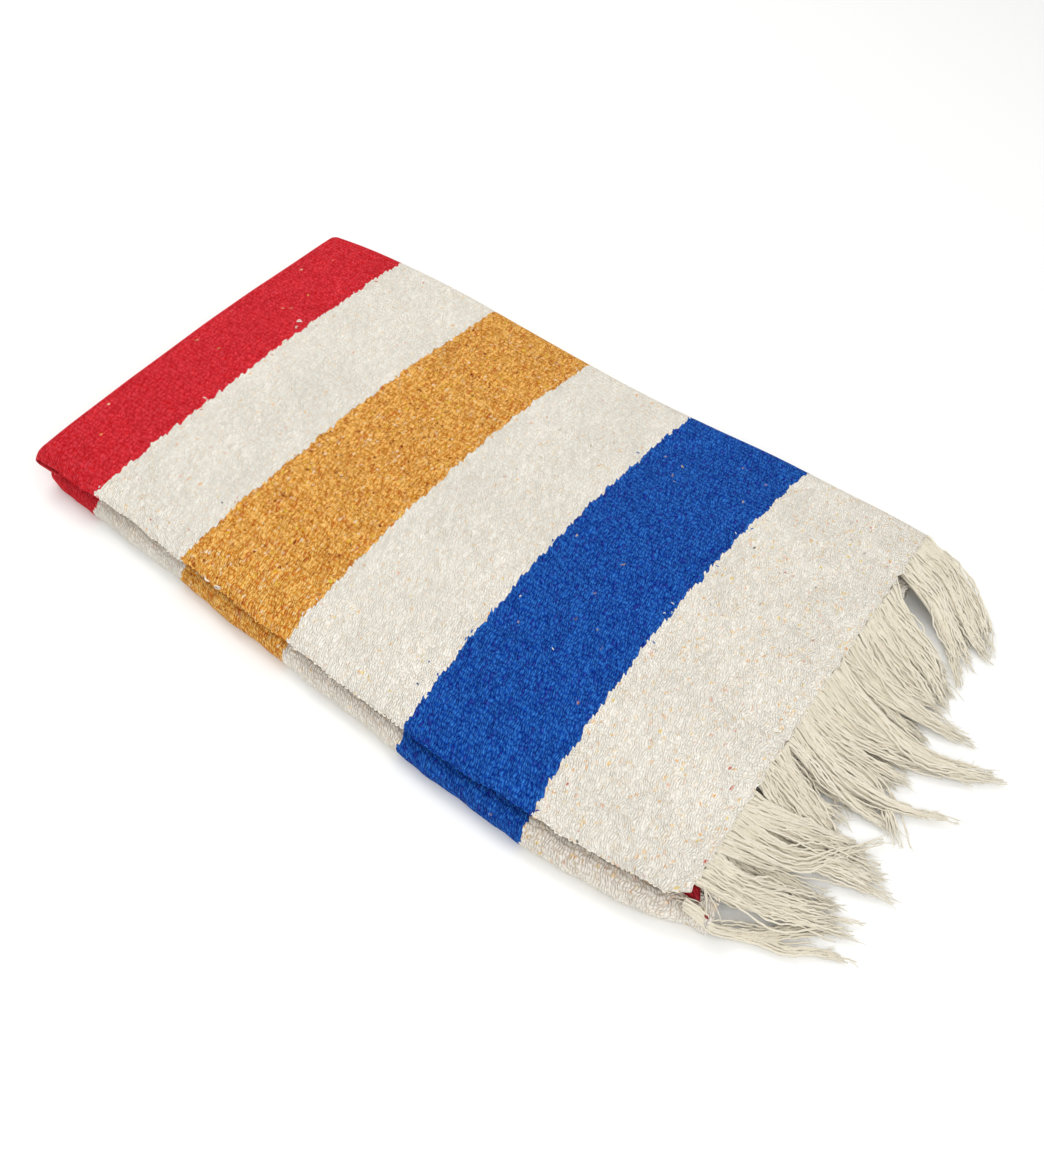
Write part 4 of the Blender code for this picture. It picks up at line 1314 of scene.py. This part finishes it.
@dataclass
class FoldRoll:
    """A fold that shows at one end of the stack: a half pipe of cloth with two legs."""

    stack: FoldedStack
    name: str
    leg: float
    first: float
    last: float
    extreme: Callable[[np.ndarray], np.ndarray]
    heights: Callable[[np.ndarray, np.ndarray], tuple[np.ndarray, np.ndarray]]
    rows: int = 96
    turn_steps: int = 14
    leg_steps: int = 5
    base_u: float = 10.0 * MM

    def build(self, material: bpy.types.Material) -> bpy.types.Object:
        """Args:
            material: the woven cotton.

        Returns:
            The finished fold.
        """
        y = np.linspace(self.first, self.last, self.rows)
        tip = self.extreme(y)
        side = 1.0 if self.leg < tip[0] else -1.0
        leg_x = np.full_like(y, self.leg)
        leg_low, leg_high = self.heights(leg_x, y)
        root_x = tip - side * self.stack.fold_reach
        low, high = self.heights(root_x, y)
        middle, radius = 0.5 * (low + high), 0.5 * (high - low)
        reach = np.minimum(radius, self.stack.fold_reach)
        leg = tip - side * reach - leg_x
        columns = []
        for k in range(self.leg_steps):
            t = k / self.leg_steps
            columns.append((leg_x + leg * t, leg_high + (high - leg_high) * t))
        for k in range(self.turn_steps + 1):
            turn = math.pi * k / self.turn_steps
            x = tip - side * reach * (1.0 - math.sin(turn))
            columns.append((x, middle + radius * math.cos(turn)))
        for k in range(1, self.leg_steps + 1):
            t = 1.0 - k / self.leg_steps
            columns.append((leg_x + leg * t, leg_low + (low - leg_low) * t))
        points = np.stack([np.stack([x, y, z], axis=-1) for x, z in columns], axis=1)
        if side < 0.0:
            points = points[:, ::-1]
        steps = np.linalg.norm(np.diff(points, axis=1), axis=2).mean(axis=0)
        u = np.concatenate([[0.0], np.cumsum(steps)])
        v = np.repeat((y - self.first)[:, None], points.shape[1], axis=1)
        surface = ClothSurface(points, u - u[-1] * 0.5 + self.base_u, v)
        roll = ClothShell().build(self.name + "_cloth", surface)
        dress(roll, material, "red_cotton", self.name)
        return roll


@dataclass
class InnerFolds:
    """The folds that lie inside the stack and show at its two ends."""

    stack: FoldedStack
    core_right: float = 268.0 * MM
    core_gap: float = 0.9 * MM
    fold_end: float = 285.0 * MM
    corner_extra: float = 17.5 * MM
    corner_reach: float = 44.0 * MM
    corner_lead: float = 1.0 * MM
    lip_room: float = 2.4 * MM
    lip_room_reach: float = 6.0 * MM
    end_inset: float = 2.0 * MM
    cloth: float = 2.4 * MM

    def build(self, material: bpy.types.Material) -> list[bpy.types.Object]:
        """Make the four folds.

        Args:
            material: the woven cotton.

        Returns:
            The finished folds.
        """
        stack = self.stack
        inset = self.cloth + self.core_gap

        def both(x: np.ndarray, y: np.ndarray) -> tuple[np.ndarray, np.ndarray]:
            """The top cloth's and the lower bundles' heights."""
            return stack.heights(stack.size(x), y)

        def reach(y: np.ndarray) -> np.ndarray:
            """How far the folds inside the woven end reach."""
            return self.fold_end + self.corner_extra * (
                1.0 - ease((y + HALF_WIDTH) / self.corner_reach))

        def under_lip(x: np.ndarray, y: np.ndarray) -> np.ndarray:
            """The height just under the top cloth and under its lip."""
            room = self.lip_room * np.exp(-(y - first_top + self.corner_lead) / self.lip_room_reach)
            return both(x, y)[0] - inset - room

        left = stack.size(np.array([LEFT_END * MM]))
        right = stack.size(np.array([self.fold_end]))
        left_first = float(max(left["front"][0], left["spine"][0])) + stack.tuck + stack.seam
        left_last = float(left["back"][0]) - stack.back_spine_depth - self.end_inset
        right_last = float(right["back"][0]) - stack.back_spine_depth - self.end_inset
        first_top = float(stack.top_edges(right)[0][0])
        first_low = float(right["spine"][0]) + stack.front_spine_depth
        leg = self.core_right + self.core_gap
        half_seam = 0.5 * stack.seam
        ones = np.ones(1)
        rolls = (
            FoldRoll(stack, "middle_fold", stack.leg_end, left_first, left_last,
                     lambda y: stack.left_line(y, ones),
                     lambda x, y: (0.5 * both(x, y)[1] + half_seam, both(x, y)[1])),
            FoldRoll(stack, "upper_inner_fold", leg, first_top - self.corner_lead, right_last,
                     reach, lambda x, y: (both(x, y)[1] + stack.layer_gap, under_lip(x, y))),
            FoldRoll(stack, "middle_inner_fold", leg, first_low, right_last, reach,
                     lambda x, y: (0.5 * both(x, y)[1] + half_seam, both(x, y)[1] - inset)),
            FoldRoll(stack, "lower_inner_fold", leg, first_low, right_last, reach,
                     lambda x, y: (inset + 0.0 * y, 0.5 * both(x, y)[1] - half_seam)),
        )
        return [roll.build(material) for roll in rolls]


@dataclass
class MiddleEnd:
    """The last of the middle bundle's outer layer, which shows under the top fringe."""

    stack: FoldedStack
    start: float = 279.0 * MM
    first: float = -172.0 * MM
    last: float = 184.0 * MM
    rows: int = 90
    columns: int = 7

    def build(self, material: bpy.types.Material) -> bpy.types.Object:
        """Args:
            material: the woven cotton.

        Returns:
            The finished cloth.
        """
        stack = self.stack
        y = np.linspace(self.first, self.last, self.rows)
        end = stack.line(len(STRIPES), y, np.ones(1)) - 0.4 * MM
        columns = []
        for k in range(self.columns):
            x = self.start + (end - self.start) * k / (self.columns - 1)
            columns.append(np.stack([x, y, stack.heights(stack.size(x), y)[1]], axis=-1))
        points = np.stack(columns, axis=1)
        u = points[..., 0].mean(axis=0) - LEFT_END * MM
        v = np.repeat((y + HALF_WIDTH)[:, None], self.columns, axis=1)
        cloth = ClothShell().build("middle_end_cloth", ClothSurface(points, u, v))
        dress(cloth, material, "inner_cotton")
        return cloth


@dataclass
class HiddenLayers:
    """The hidden layers as one rounded solid, layered along the front edge."""

    stack: FoldedStack
    inset: float = 3.3 * MM
    start: float = -290.1 * MM
    end: float = 268.0 * MM
    rings: int = 150
    ridge_points: int = 7
    layers: int = 3
    recess: float = 2.8 * MM
    ridge: float = 1.5 * MM

    def build(self, material: bpy.types.Material) -> bpy.types.Object:
        """Make the solid.

        Args:
            material: the woven cotton.

        Returns:
            The finished layers.
        """
        stack = self.stack
        x = np.linspace(self.start, self.end, self.rings)
        section = stack.section(x)
        size = {name: values[:, None] for name, values in stack.size(x).items()}
        line = np.stack([section.y, section.z], axis=-1)
        way = unit(np.gradient(line, axis=1))
        inner = line + np.stack([way[..., 1], -way[..., 0]], axis=-1) * self.inset
        keep = stack.lip_rows + 1
        inner = inner[:, keep - 5:]
        tuck_y = line[:, -1:, 0] + 0.9 * MM
        notch = stack.heights(size, tuck_y)[1] + stack.layer_gap
        base = stack.heights(size, size["front"])[1] + stack.layer_gap + 0.9 * MM
        top = inner[:, :1, 1] - 0.4 * MM
        edge = []
        for layer in range(self.layers):
            low = base + (top - base) * layer / self.layers
            high = base + (top - base) * (layer + 1) / self.layers
            for k in range(self.ridge_points):
                t = (k + 0.5) / self.ridge_points
                bulge = self.ridge * math.sin(math.pi * t) ** 0.6
                wave = stack.edge_ripple(x[:, None], 1.3 * layer + 0.5) * 0.4
                y = size["front"] + self.recess + 0.8 * MM * layer + self.ridge - bulge + wave
                edge.append(np.stack([y, low + (high - low) * t], axis=-1))
        inner[:, -1:, 0] = tuck_y
        ring = np.concatenate([inner, np.stack([tuck_y, notch], axis=-1), *edge], axis=1)
        count = ring.shape[1]
        along = np.broadcast_to(x[:, None, None], (len(x), count, 1))
        points = np.concatenate([along, ring], axis=2)
        length = np.linalg.norm(np.diff(ring, axis=1), axis=2).mean(axis=0)
        v = np.concatenate([[0.0], np.cumsum(length)])
        r, k = np.meshgrid(np.arange(len(x) - 1), np.arange(count), indexing="ij")
        after = (k + 1) % count
        faces = np.stack([r * count + k, (r + 1) * count + k, (r + 1) * count + after,
                          r * count + after], axis=-1).reshape(-1, 4)
        flat = np.stack(np.broadcast_arrays((x - LEFT_END * MM)[:, None], v[None, :]), axis=-1)
        flat = flat.reshape(-1, 2)
        first, last = list(range(count)), [(len(x) - 1) * count + i for i in range(count)][::-1]
        uv = np.concatenate([flat[faces].reshape(-1, 2), flat[first], flat[last]])
        made = link_mesh("hidden_layers", points.reshape(-1, 3), faces, uv, CLOTH_UV, (first, last))
        dress(made, material, "inner_cotton", "inner_layers")
        return made


CORNER_LOCKS = (
    (((290, -189, 24), (300, -187.5, 22), (312.3, -187, 14), (321.5, -181, 7.5),
      (341.5, -168.5, 4.2), (355, -156.5, 3.8), (368, -145, 3.2), (381.5, -135, 2.2)), 7),
    (((291.5, -190.5, 23), (301.5, -190, 20), (312.5, -188.5, 13), (323, -180.5, 6.5),
      (343.5, -171.5, 4), (358, -168, 3.2), (374.5, -157, 3), (398, -148, 2.2)), 8),
)

THREADS = (
    ((290, -169, 28.8), (296, -174, 27), (302, -180, 24), (306, -185.5, 20.4), (309, -191, 15)),
    ((291, -171, 28.6), (298, -175, 27), (303, -181, 23.6), (305, -187, 20.0)),
    ((286, -187.5, 22.4), (292, -184, 22.8), (299, -182, 22.4), (305, -184, 20.6)),
    ((285, -189, 21), (293, -187, 21.4), (301, -186.5, 20.6), (306, -190, 17.6)),
    ((289, -172, 29.2), (301, -175, 25), (312, -179, 18), (318, -181, 9)),
)


@dataclass(frozen=True)
class Opening:
    """A place between the locks where the floor shows, in millimetres."""

    x: float
    y: float
    radius: float


OPENINGS = (
    Opening(302, 145, 7),
    Opening(316, 137, 9),
    Opening(331, 120, 7),
    Opening(303, 62, 4),
    Opening(319, -61, 4),
    Opening(328, -66, 4),
    Opening(350, -59, 7),
    Opening(358, -57, 6),
    Opening(325, -122, 5),
    Opening(335, -118, 6),
    Opening(345, -113, 6),
    Opening(316, -171, 7),
    Opening(330, -165, 6),
    Opening(345, -160, 4),
)


# How far along a lock its two bends are.
NEAR_BEND, FAR_BEND = 0.33, 0.68


@dataclass(frozen=True)
class HiddenRow:
    """How the locks of a fringe below the top one lie.

    first, last, jitter, reach and lean_at are in millimetres, and leans and sway
    in degrees. heights gives, at the root, the two bends and the tip, a height
    in metres and the share of the woven end's height that is added to it.
    """

    first: float
    last: float
    locks: int
    yarns: int
    width: float
    jitter: float
    reach: tuple[float, float]
    lean_at: tuple[float, ...]
    leans: tuple[float, ...]
    sway: float
    bow: float
    drop: float
    heights: tuple[tuple[float, float], ...]


MIDDLE_ROW = HiddenRow(
    -172.0, 180.0, 40, 8, 11.0 * MM, 2.5, (48.0, 76.0), (-180.0, -120.0, -60.0, 20.0, 120.0, 180.0),
    (18.0, 16.0, 0.0, 2.0, -14.0, -24.0), 7.0, 0.06, 0.92,
    ((0.0, 1.0), (0.6 * MM, 0.66), (2.0 * MM, 0.24), (1.8 * MM, 0.0)))
UNDERSIDE_ROW = HiddenRow(
    -160.0, 176.0, 30, 6, 12.0 * MM, 3.0, (44.0, 66.0), (-180.0, 0.0, 180.0), (14.0, 0.0, -16.0),
    8.0, 0.0, 0.0, ((1.6 * MM, 0.0), (2.0 * MM, 0.0), (1.8 * MM, 0.0), (1.6 * MM, 0.0)))


@dataclass
class Fringe:
    """Warp ends of the three woven ends, gathered in loose locks.

    heading, lifts, overlap, widths, opening_margin, shortest, bed_gap and
    bed_reach are in millimetres, as the tables of locks and openings are.
    """

    stack: FoldedStack
    seed: int = 7
    yarn_radius: float = 0.86 * MM
    steps: int = 27
    gather: float = 4.4 * MM
    core_radius: float = 1.7 * MM
    core_pitch: float = 4.0 * MM
    core_drop: float = 1.3 * MM
    core_share: float = 0.84
    fullness: float = 1.5
    wildness: float = 2.8
    wild_share: float = 0.26
    bunch_pitch: float = 6.4 * MM
    bunch_looseness: float = 0.78
    bunch_height: float = 1.6 * MM
    swell: float = 1.0 * MM
    swell_at: float = 4.0 * MM
    swell_reach: float = 3.5 * MM
    floor: float = 0.9 * MM
    bunch_drift: float = 0.42
    bunch_wave: float = 5.3 * MM
    lengths: tuple[float, float] = (0.74, 1.05)
    root_reach: float = 0.36
    stack_reach: float = 0.2
    gather_reach: float = 0.30
    crimp: float = 0.42 * MM
    crimp_pitch: float = 9.0 * MM
    fibres: int = 3
    fibre_lengths: tuple[float, float] = (5.0 * MM, 12.0 * MM)
    fibre_spread: float = 0.28
    fibre_radii: tuple[float, ...] = (0.42 * MM, 0.38 * MM, 0.30 * MM, 0.20 * MM, 0.08 * MM)
    thread_radius: float = 0.5 * MM
    heading: float = 0.6
    lifts: tuple[float, float] = (0.0, 2.0)
    overlap: float = 3.0
    widths: tuple[float, float] = (11.0, 28.0)
    opening_margin: float = 4.0
    shortest: float = 26.0
    bed_gap: float = 30.0
    bed_reach: tuple[float, float] = (48.0, 72.0)
    bed_width: float = 15.0 * MM
    bed_yarns: int = 7

    def __post_init__(self) -> None:
        """Start the random numbers."""
        self.rng = np.random.default_rng(self.seed)

    def lock(self, spinner: YarnSpinner, plan: np.ndarray, heights: np.ndarray, width: float,
             yarns: int, spread: float = 1.0) -> None:
        """Lay one lock of yarns.

        Args:
            spinner: collects the yarns.
            plan: the root, the bends and the tip, in plan.
            heights: the lock's height at the same places.
            width: how wide the lock is at its root.
            yarns: how many yarns it has.
            spread: how far its yarns spread, beside those of the other locks.
        """
        rng = self.rng
        spans = np.linalg.norm(np.diff(plan, axis=0), axis=1)
        length = float(spans.sum())
        knots = np.concatenate([[0.0], np.cumsum(spans)]) / length
        self.core(spinner, plan, heights, knots, width)
        twist = rng.uniform(-2.6, 2.6)
        yarns = round(yarns * self.fullness)
        for number in range(yarns):
            t = np.linspace(0.0, 1.0, self.steps) * rng.uniform(*self.lengths)
            inside = np.minimum(t, 1.0)
            centre = np.stack([smooth_curve(inside, knots, axis)
                               for axis in (plan[:, 0], plan[:, 1], heights)], axis=-1)
            over = np.maximum(t - 1.0, 0.0)[:, None]
            centre[:, :2] += over * (plan[-1] - plan[-2]) / (knots[-1] - knots[-2])
            root = ((number + rng.uniform(0.2, 0.8)) / yarns - 0.5) * width
            bunch = self.bunch_pitch * round((plan[0, 1] + root) / self.bunch_pitch)
            bunch += self.bunch_drift * self.bunch_pitch * math.sin(bunch / self.bunch_wave)
            bunch -= plan[0, 1]
            root = bunch + (root - bunch) * self.bunch_looseness
            apart = np.exp(-t / self.root_reach)
            stacked = rng.uniform(-0.5, 1.0) * self.bunch_height * np.exp(-t / self.stack_reach)
            swing = rng.uniform(0.0, 2.0 * math.pi)
            body = spread * self.gather * math.sqrt(rng.uniform(0.02, 1.0))
            grow = body * ease(t / self.gather_reach) * (1.10 - 0.55 * ease((t - 0.5) / 0.5))
            turn = swing + twist * t
            way = unit(np.gradient(centre[:, :2], axis=0))
            side = np.stack([-way[:, 1], way[:, 0]], axis=-1)
            wave = 2.0 * math.pi * t * length / (self.crimp_pitch * rng.uniform(0.8, 1.25)) + swing
            kink = self.crimp * rng.uniform(0.5, 1.4) * ease(t / 0.12)
            wild = self.wildness if rng.uniform() < self.wild_share else 1.0
            wander = spread * wild * self.curl(t) * ease(t / 0.5) * (1.0 - 0.4 * t)
            off = grow * np.cos(turn) + wander + kink * np.sin(wave)
            centre[:, :2] += side * off[:, None]
            centre[:, 1] += root * apart
            swell = self.swell * rng.uniform(0.3, 1.3)
            swell = swell * np.exp(-((t * length - self.swell_at) / self.swell_reach) ** 2)
            centre[:, 2] += grow * np.sin(turn) * 0.45 + kink * np.cos(wave) * 0.8 + swell + stacked
            taper = 1.0 - 0.55 * ease((t - 0.72) / 0.35)
            radius = self.yarn_radius * rng.uniform(0.75, 1.1) * taper
            radius = radius * (1.0 + 0.12 * np.sin(wave * 0.61 + 1.0))
            centre[:, 2] = np.maximum(centre[:, 2], self.floor + rng.uniform(0.0, 1.0) * MM)
            spinner.add(centre, radius, spin=rng.uniform(0.0, 1.5))
            self.fray(spinner, centre)

    def core(self, spinner: YarnSpinner, plan: np.ndarray, heights: np.ndarray, knots: np.ndarray,
             width: float) -> None:
        """Lay the thick innermost yarns of a lock, which show only between the others.

        Args:
            spinner: collects the yarns.
            plan: the root, the bends and the tip, in plan.
            heights: the lock's height at the same places.
            knots: how far along the lock those places are, from 0 to 1.
            width: how wide the lock is at its root.
        """
        count = max(2, round(width / self.core_pitch))
        t = np.linspace(0.0, self.core_share, self.steps // 2)
        middle = np.stack([smooth_curve(t, knots, axis)
                           for axis in (plan[:, 0], plan[:, 1], heights)], axis=-1)
        way = unit(np.gradient(middle[:, :2], axis=0))
        side = np.stack([-way[:, 1], way[:, 0]], axis=-1)
        for number in range(count):
            place = (number + 0.5) / count - 0.5
            centre = middle.copy()
            aside = 1.3 * self.gather * place * ease(t / self.gather_reach)
            centre[:, :2] += side * aside[:, None]
            centre[:, 1] += place * width * np.exp(-t / self.root_reach)
            radius = self.core_radius * (1.0 - 0.7 * ease((t - 0.4) / (self.core_share - 0.4)))
            centre[:, 2] = np.maximum(centre[:, 2] - self.core_drop, radius)
            spinner.add(centre, radius)

    def curl(self, t: np.ndarray) -> np.ndarray:
        """A yarn's own slow sideways wander along its length."""
        rng = self.rng
        first, second = rng.uniform(0.0, 6.3, 2)
        return MM * (rng.uniform(0.6, 4.4) * np.sin(4.2 * t + first)
                     + rng.uniform(0.2, 1.2) * np.sin(11.0 * t + second))

    def fray(self, spinner: YarnSpinner, centre: np.ndarray) -> None:
        """Split a yarn's tip into a few fine fibres."""
        rng = self.rng
        for _ in range(self.fibres):
            start = rng.integers(len(centre) - 7, len(centre) - 1)
            way = unit(centre[start + 1] - centre[start - 2])
            spread = rng.normal(0.0, self.fibre_spread, 3) * (1.0, 1.0, 0.35)
            length = rng.uniform(*self.fibre_lengths)
            t = np.linspace(0.0, 1.0, len(self.fibre_radii))[:, None]
            fibre = centre[start] + length * (way * t + spread * t**1.5)
            fibre[:, 2] = np.maximum(fibre[:, 2], 0.5 * MM)
            spinner.add(fibre, np.array(self.fibre_radii), spin=rng.uniform(0.0, 1.5))

    def end_point(self, y: float, lower: float) -> tuple[float, float]:
        """Where the woven end is at a y, and how high its middle lies."""
        stack = self.stack
        ys = np.array([y])
        x = stack.line(len(STRIPES), ys, np.array([lower]))
        top, middle = stack.heights(stack.size(x), ys)
        return float(x[0]), float((middle if lower else top)[0]) - 1.2 * MM

    def top(self, material: bpy.types.Material) -> bpy.types.Object:
        """The fringe of the outer layer's woven end, lock by lock as it lies."""
        spinner = YarnSpinner()
        root_ys = sorted(lock.root_y for lock in LOCKS)
        for lock in LOCKS:
            i = root_ys.index(lock.root_y)
            low = root_ys[i - 1] if i else lock.root_y - 18.0
            high = root_ys[i + 1] if i + 1 < len(root_ys) else lock.root_y + 16.0
            width = float(np.clip(0.5 * (high - low) + self.overlap, *self.widths)) * MM
            x, z = self.end_point(lock.root_y * MM, 0.0)
            plan = np.array([[x / MM - self.heading, lock.root_y], [lock.near_x, lock.near_y],
                             [lock.far_x, lock.far_y], [lock.tip_x, lock.tip_y]]) * MM
            lift = self.rng.uniform(*self.lifts) * MM
            heights = np.array([z, 0.64 * z, 8.0 * MM + lift, 3.2 * MM + lift * 0.5])
            self.lock(spinner, plan, heights, width, lock.yarns)
        for thread in THREADS:
            points = np.array(thread) * MM
            t = np.linspace(0.0, 1.0, 18)
            knots = np.linspace(0.0, 1.0, len(points))
            centre = np.stack([smooth_curve(t, knots, axis) for axis in points.T], axis=-1)
            spinner.add(centre, self.thread_radius * (1.0 - 0.6 * t**3))
        return self.finish(spinner, material, "top_fringe")

    def bed(self, material: bpy.types.Material) -> bpy.types.Object:
        """Shorter yarns of the outer layer that lie under and between its locks.

        Args:
            material: the warp yarn.

        Returns:
            The finished yarns.
        """
        spinner = YarnSpinner()
        rng = self.rng
        for low, high in zip(LOCKS, LOCKS[1:]):
            y = 0.5 * (low.root_y + high.root_y)
            if abs(high.root_y - low.root_y) > self.bed_gap:
                continue
            tip = 0.5 * np.array([low.far_x + high.far_x, low.far_y + high.far_y])
            x, z = self.end_point(y * MM, 0.0)
            root = np.array([x / MM, y])
            way = unit(tip - root)
            reach = self.clear_reach(root, way, rng.uniform(*self.bed_reach))
            if not reach:
                continue
            places = reach * np.array([0.0, NEAR_BEND, FAR_BEND, 1.0])
            plan = (root + way * places[:, None]) * MM
            heights = np.array([z - 0.8 * MM, 0.62 * z, 7.0 * MM, 3.4 * MM])
            self.lock(spinner, plan, heights, self.bed_width, self.bed_yarns)
        piece = spinner.build("top_fringe_bed_yarns", YARN_UV)
        dress(piece, material, "warp_yarn")
        return piece

    def clear_reach(self, root: np.ndarray, way: np.ndarray, reach: float) -> float:
        """How far a hidden lock may reach before it would cover an opening.

        Args:
            root: where it starts, in millimetres.
            way: which way it lies.
            reach: how far it would reach, in millimetres.

        Returns:
            Its reach, in millimetres, or zero where it would be too short.
        """
        for opening in OPENINGS:
            offset = np.array([opening.x, opening.y]) - root
            along = float(offset @ way)
            aside = abs(float(offset[0] * way[1] - offset[1] * way[0]))
            clear = opening.radius + self.opening_margin
            if along > 0.0 and aside < clear:
                reach = min(reach, along - math.sqrt(clear**2 - aside**2))
        return reach if reach > self.shortest else 0.0

    def hidden(self, spinner: YarnSpinner, row: HiddenRow) -> None:
        """Lay the locks of a fringe below the top one.

        Args:
            spinner: collects the yarns.
            row: where its locks lie and how they lean.
        """
        rng = self.rng
        for y in np.linspace(row.first, row.last, row.locks):
            y = y + rng.uniform(-row.jitter, row.jitter)
            x, z = self.end_point(y * MM, 1.0)
            z = max(z * row.drop, 1.3 * MM)
            lean = np.interp(y, row.lean_at, row.leans) + rng.uniform(-row.sway, row.sway)
            way = np.array([math.cos(math.radians(lean)), math.sin(math.radians(lean))])
            length = self.clear_reach(np.array([x / MM, y]), way, rng.uniform(*row.reach)) * MM
            if not length:
                continue
            side = np.array([-way[1], way[0]])
            bow = rng.uniform(-row.bow, row.bow) * length if row.bow else 0.0
            root = np.array([x - self.heading * MM, y * MM])
            plan = np.array([root, root + way * length * NEAR_BEND + side * bow,
                             root + way * length * FAR_BEND + side * bow, root + way * length])
            heights = np.array([rise + share * z for rise, share in row.heights])
            self.lock(spinner, plan, heights, row.width, row.yarns)

    def corner(self, spinner: YarnSpinner) -> None:
        """The two locks that leave the lower cloth's near corner along the floor."""
        for path, yarns in CORNER_LOCKS:
            points = np.array(path) * MM
            self.lock(spinner, points[:, :2], points[:, 2], 3.0 * MM, yarns, 0.6)

    def finish(self, spinner: YarnSpinner, material: bpy.types.Material,
               node: str) -> bpy.types.Object:
        """Make a fringe's mesh and dress it."""
        piece = spinner.build(node + "_yarns", YARN_UV)
        dress(piece, material, "warp_yarn", node)
        return piece

    def build(self, material: bpy.types.Material) -> list[bpy.types.Object]:
        """Make the three fringes.

        Args:
            material: the warp yarn.

        Returns:
            The finished fringes.
        """
        made = [self.top(material)]
        spinner = YarnSpinner()
        self.hidden(spinner, MIDDLE_ROW)
        made.append(self.finish(spinner, material, "middle_fringe"))
        spinner = YarnSpinner()
        self.corner(spinner)
        self.hidden(spinner, UNDERSIDE_ROW)
        made.append(self.finish(spinner, material, "underside_fringe"))
        made.append(self.bed(material))
        return made


@dataclass(frozen=True)
class Softbox:
    """A square soft light that faces the blanket: metres, and its share of the key's power."""

    name: str
    place: tuple[float, float, float]
    size: float
    share: float


SOFTBOXES = (
    Softbox("key_softbox", (-1.5, 0.5, 1.7), 1.0, 1.0),
    Softbox("front_softbox", (0.75, -1.15, 1.6), 1.8, 0.9),
    Softbox("fringe_softbox", (1.5, 0.2, 1.1), 1.4, 0.3),
)


@dataclass
class Studio:
    """Plain white floor, soft light and the camera at the photo's angle."""

    image_width: int = 1044
    image_height: int = 1176
    focal_pixels: float = 1200.0
    sensor: float = 24.0
    camera_at: tuple[float, float, float] = (0.34011, -0.51344, 0.75934)
    right: tuple[float, float, float] = (0.81240, 0.58007, 0.05938)
    back: tuple[float, float, float] = (0.30431, -0.50863, 0.80541)
    floor_size: float = 30.0
    world: float = 0.64
    key_power: float = 20.0

    def build(self, paper: bpy.types.Material) -> None:
        """Make the floor, the lights and the camera.

        Args:
            paper: the floor's material.
        """
        scene = bpy.context.scene
        bpy.ops.mesh.primitive_plane_add(size=self.floor_size, location=(0.0, 0.0, 0.0))
        floor = bpy.context.object
        floor.name = "studio_floor"
        floor.data.materials.append(paper)

        world = bpy.data.worlds.new("studio_world")
        world.use_nodes = True
        world.node_tree.nodes["Background"].inputs["Color"].default_value = (1.0, 1.0, 1.0, 1.0)
        world.node_tree.nodes["Background"].inputs["Strength"].default_value = self.world
        scene.world = world
        for box in SOFTBOXES:
            light = bpy.data.lights.new(box.name, "AREA")
            light.size = box.size
            light.energy = self.key_power * box.share
            lamp = bpy.data.objects.new(box.name, light)
            lamp.location = box.place
            lamp.rotation_euler = (-Vector(box.place)).to_track_quat("-Z", "Y").to_euler()
            scene.collection.objects.link(lamp)

        right, back = Vector(self.right), Vector(self.back)
        back.normalize()
        right = (right - back * right.dot(back)).normalized()
        up = back.cross(right)
        turn = Matrix((right, up, back)).transposed().to_4x4()
        data = bpy.data.cameras.new("studio_camera")
        data.sensor_fit = "VERTICAL"
        data.sensor_height = self.sensor
        data.sensor_width = self.sensor
        data.lens = self.sensor * self.focal_pixels / self.image_height
        camera = bpy.data.objects.new("studio_camera", data)
        camera.matrix_world = Matrix.Translation(self.camera_at) @ turn
        scene.collection.objects.link(camera)
        scene.camera = camera
        scene.view_settings.view_transform = "Standard"


def main() -> None:
    """Build the blanket and its studio, and report each piece."""
    logging.basicConfig(level=logging.INFO, format="%(message)s")
    for chosen in list(bpy.context.selected_objects):
        chosen.select_set(False)
    cotton, yarn = WovenCotton().build(), WarpYarn().build()
    stack = FoldedStack()
    outer = OuterCloth(stack)
    outer.build(cotton)
    StrayLoops(outer.surface, stack.lip_rows + stack.top_rows).build(cotton)
    InnerFolds(stack).build(cotton)
    MiddleEnd(stack).build(cotton)
    HiddenLayers(stack).build(cotton)
    Fringe(stack).build(yarn)
    Studio().build(StudioPaper().build())


if __name__ == "__main__":
    main()
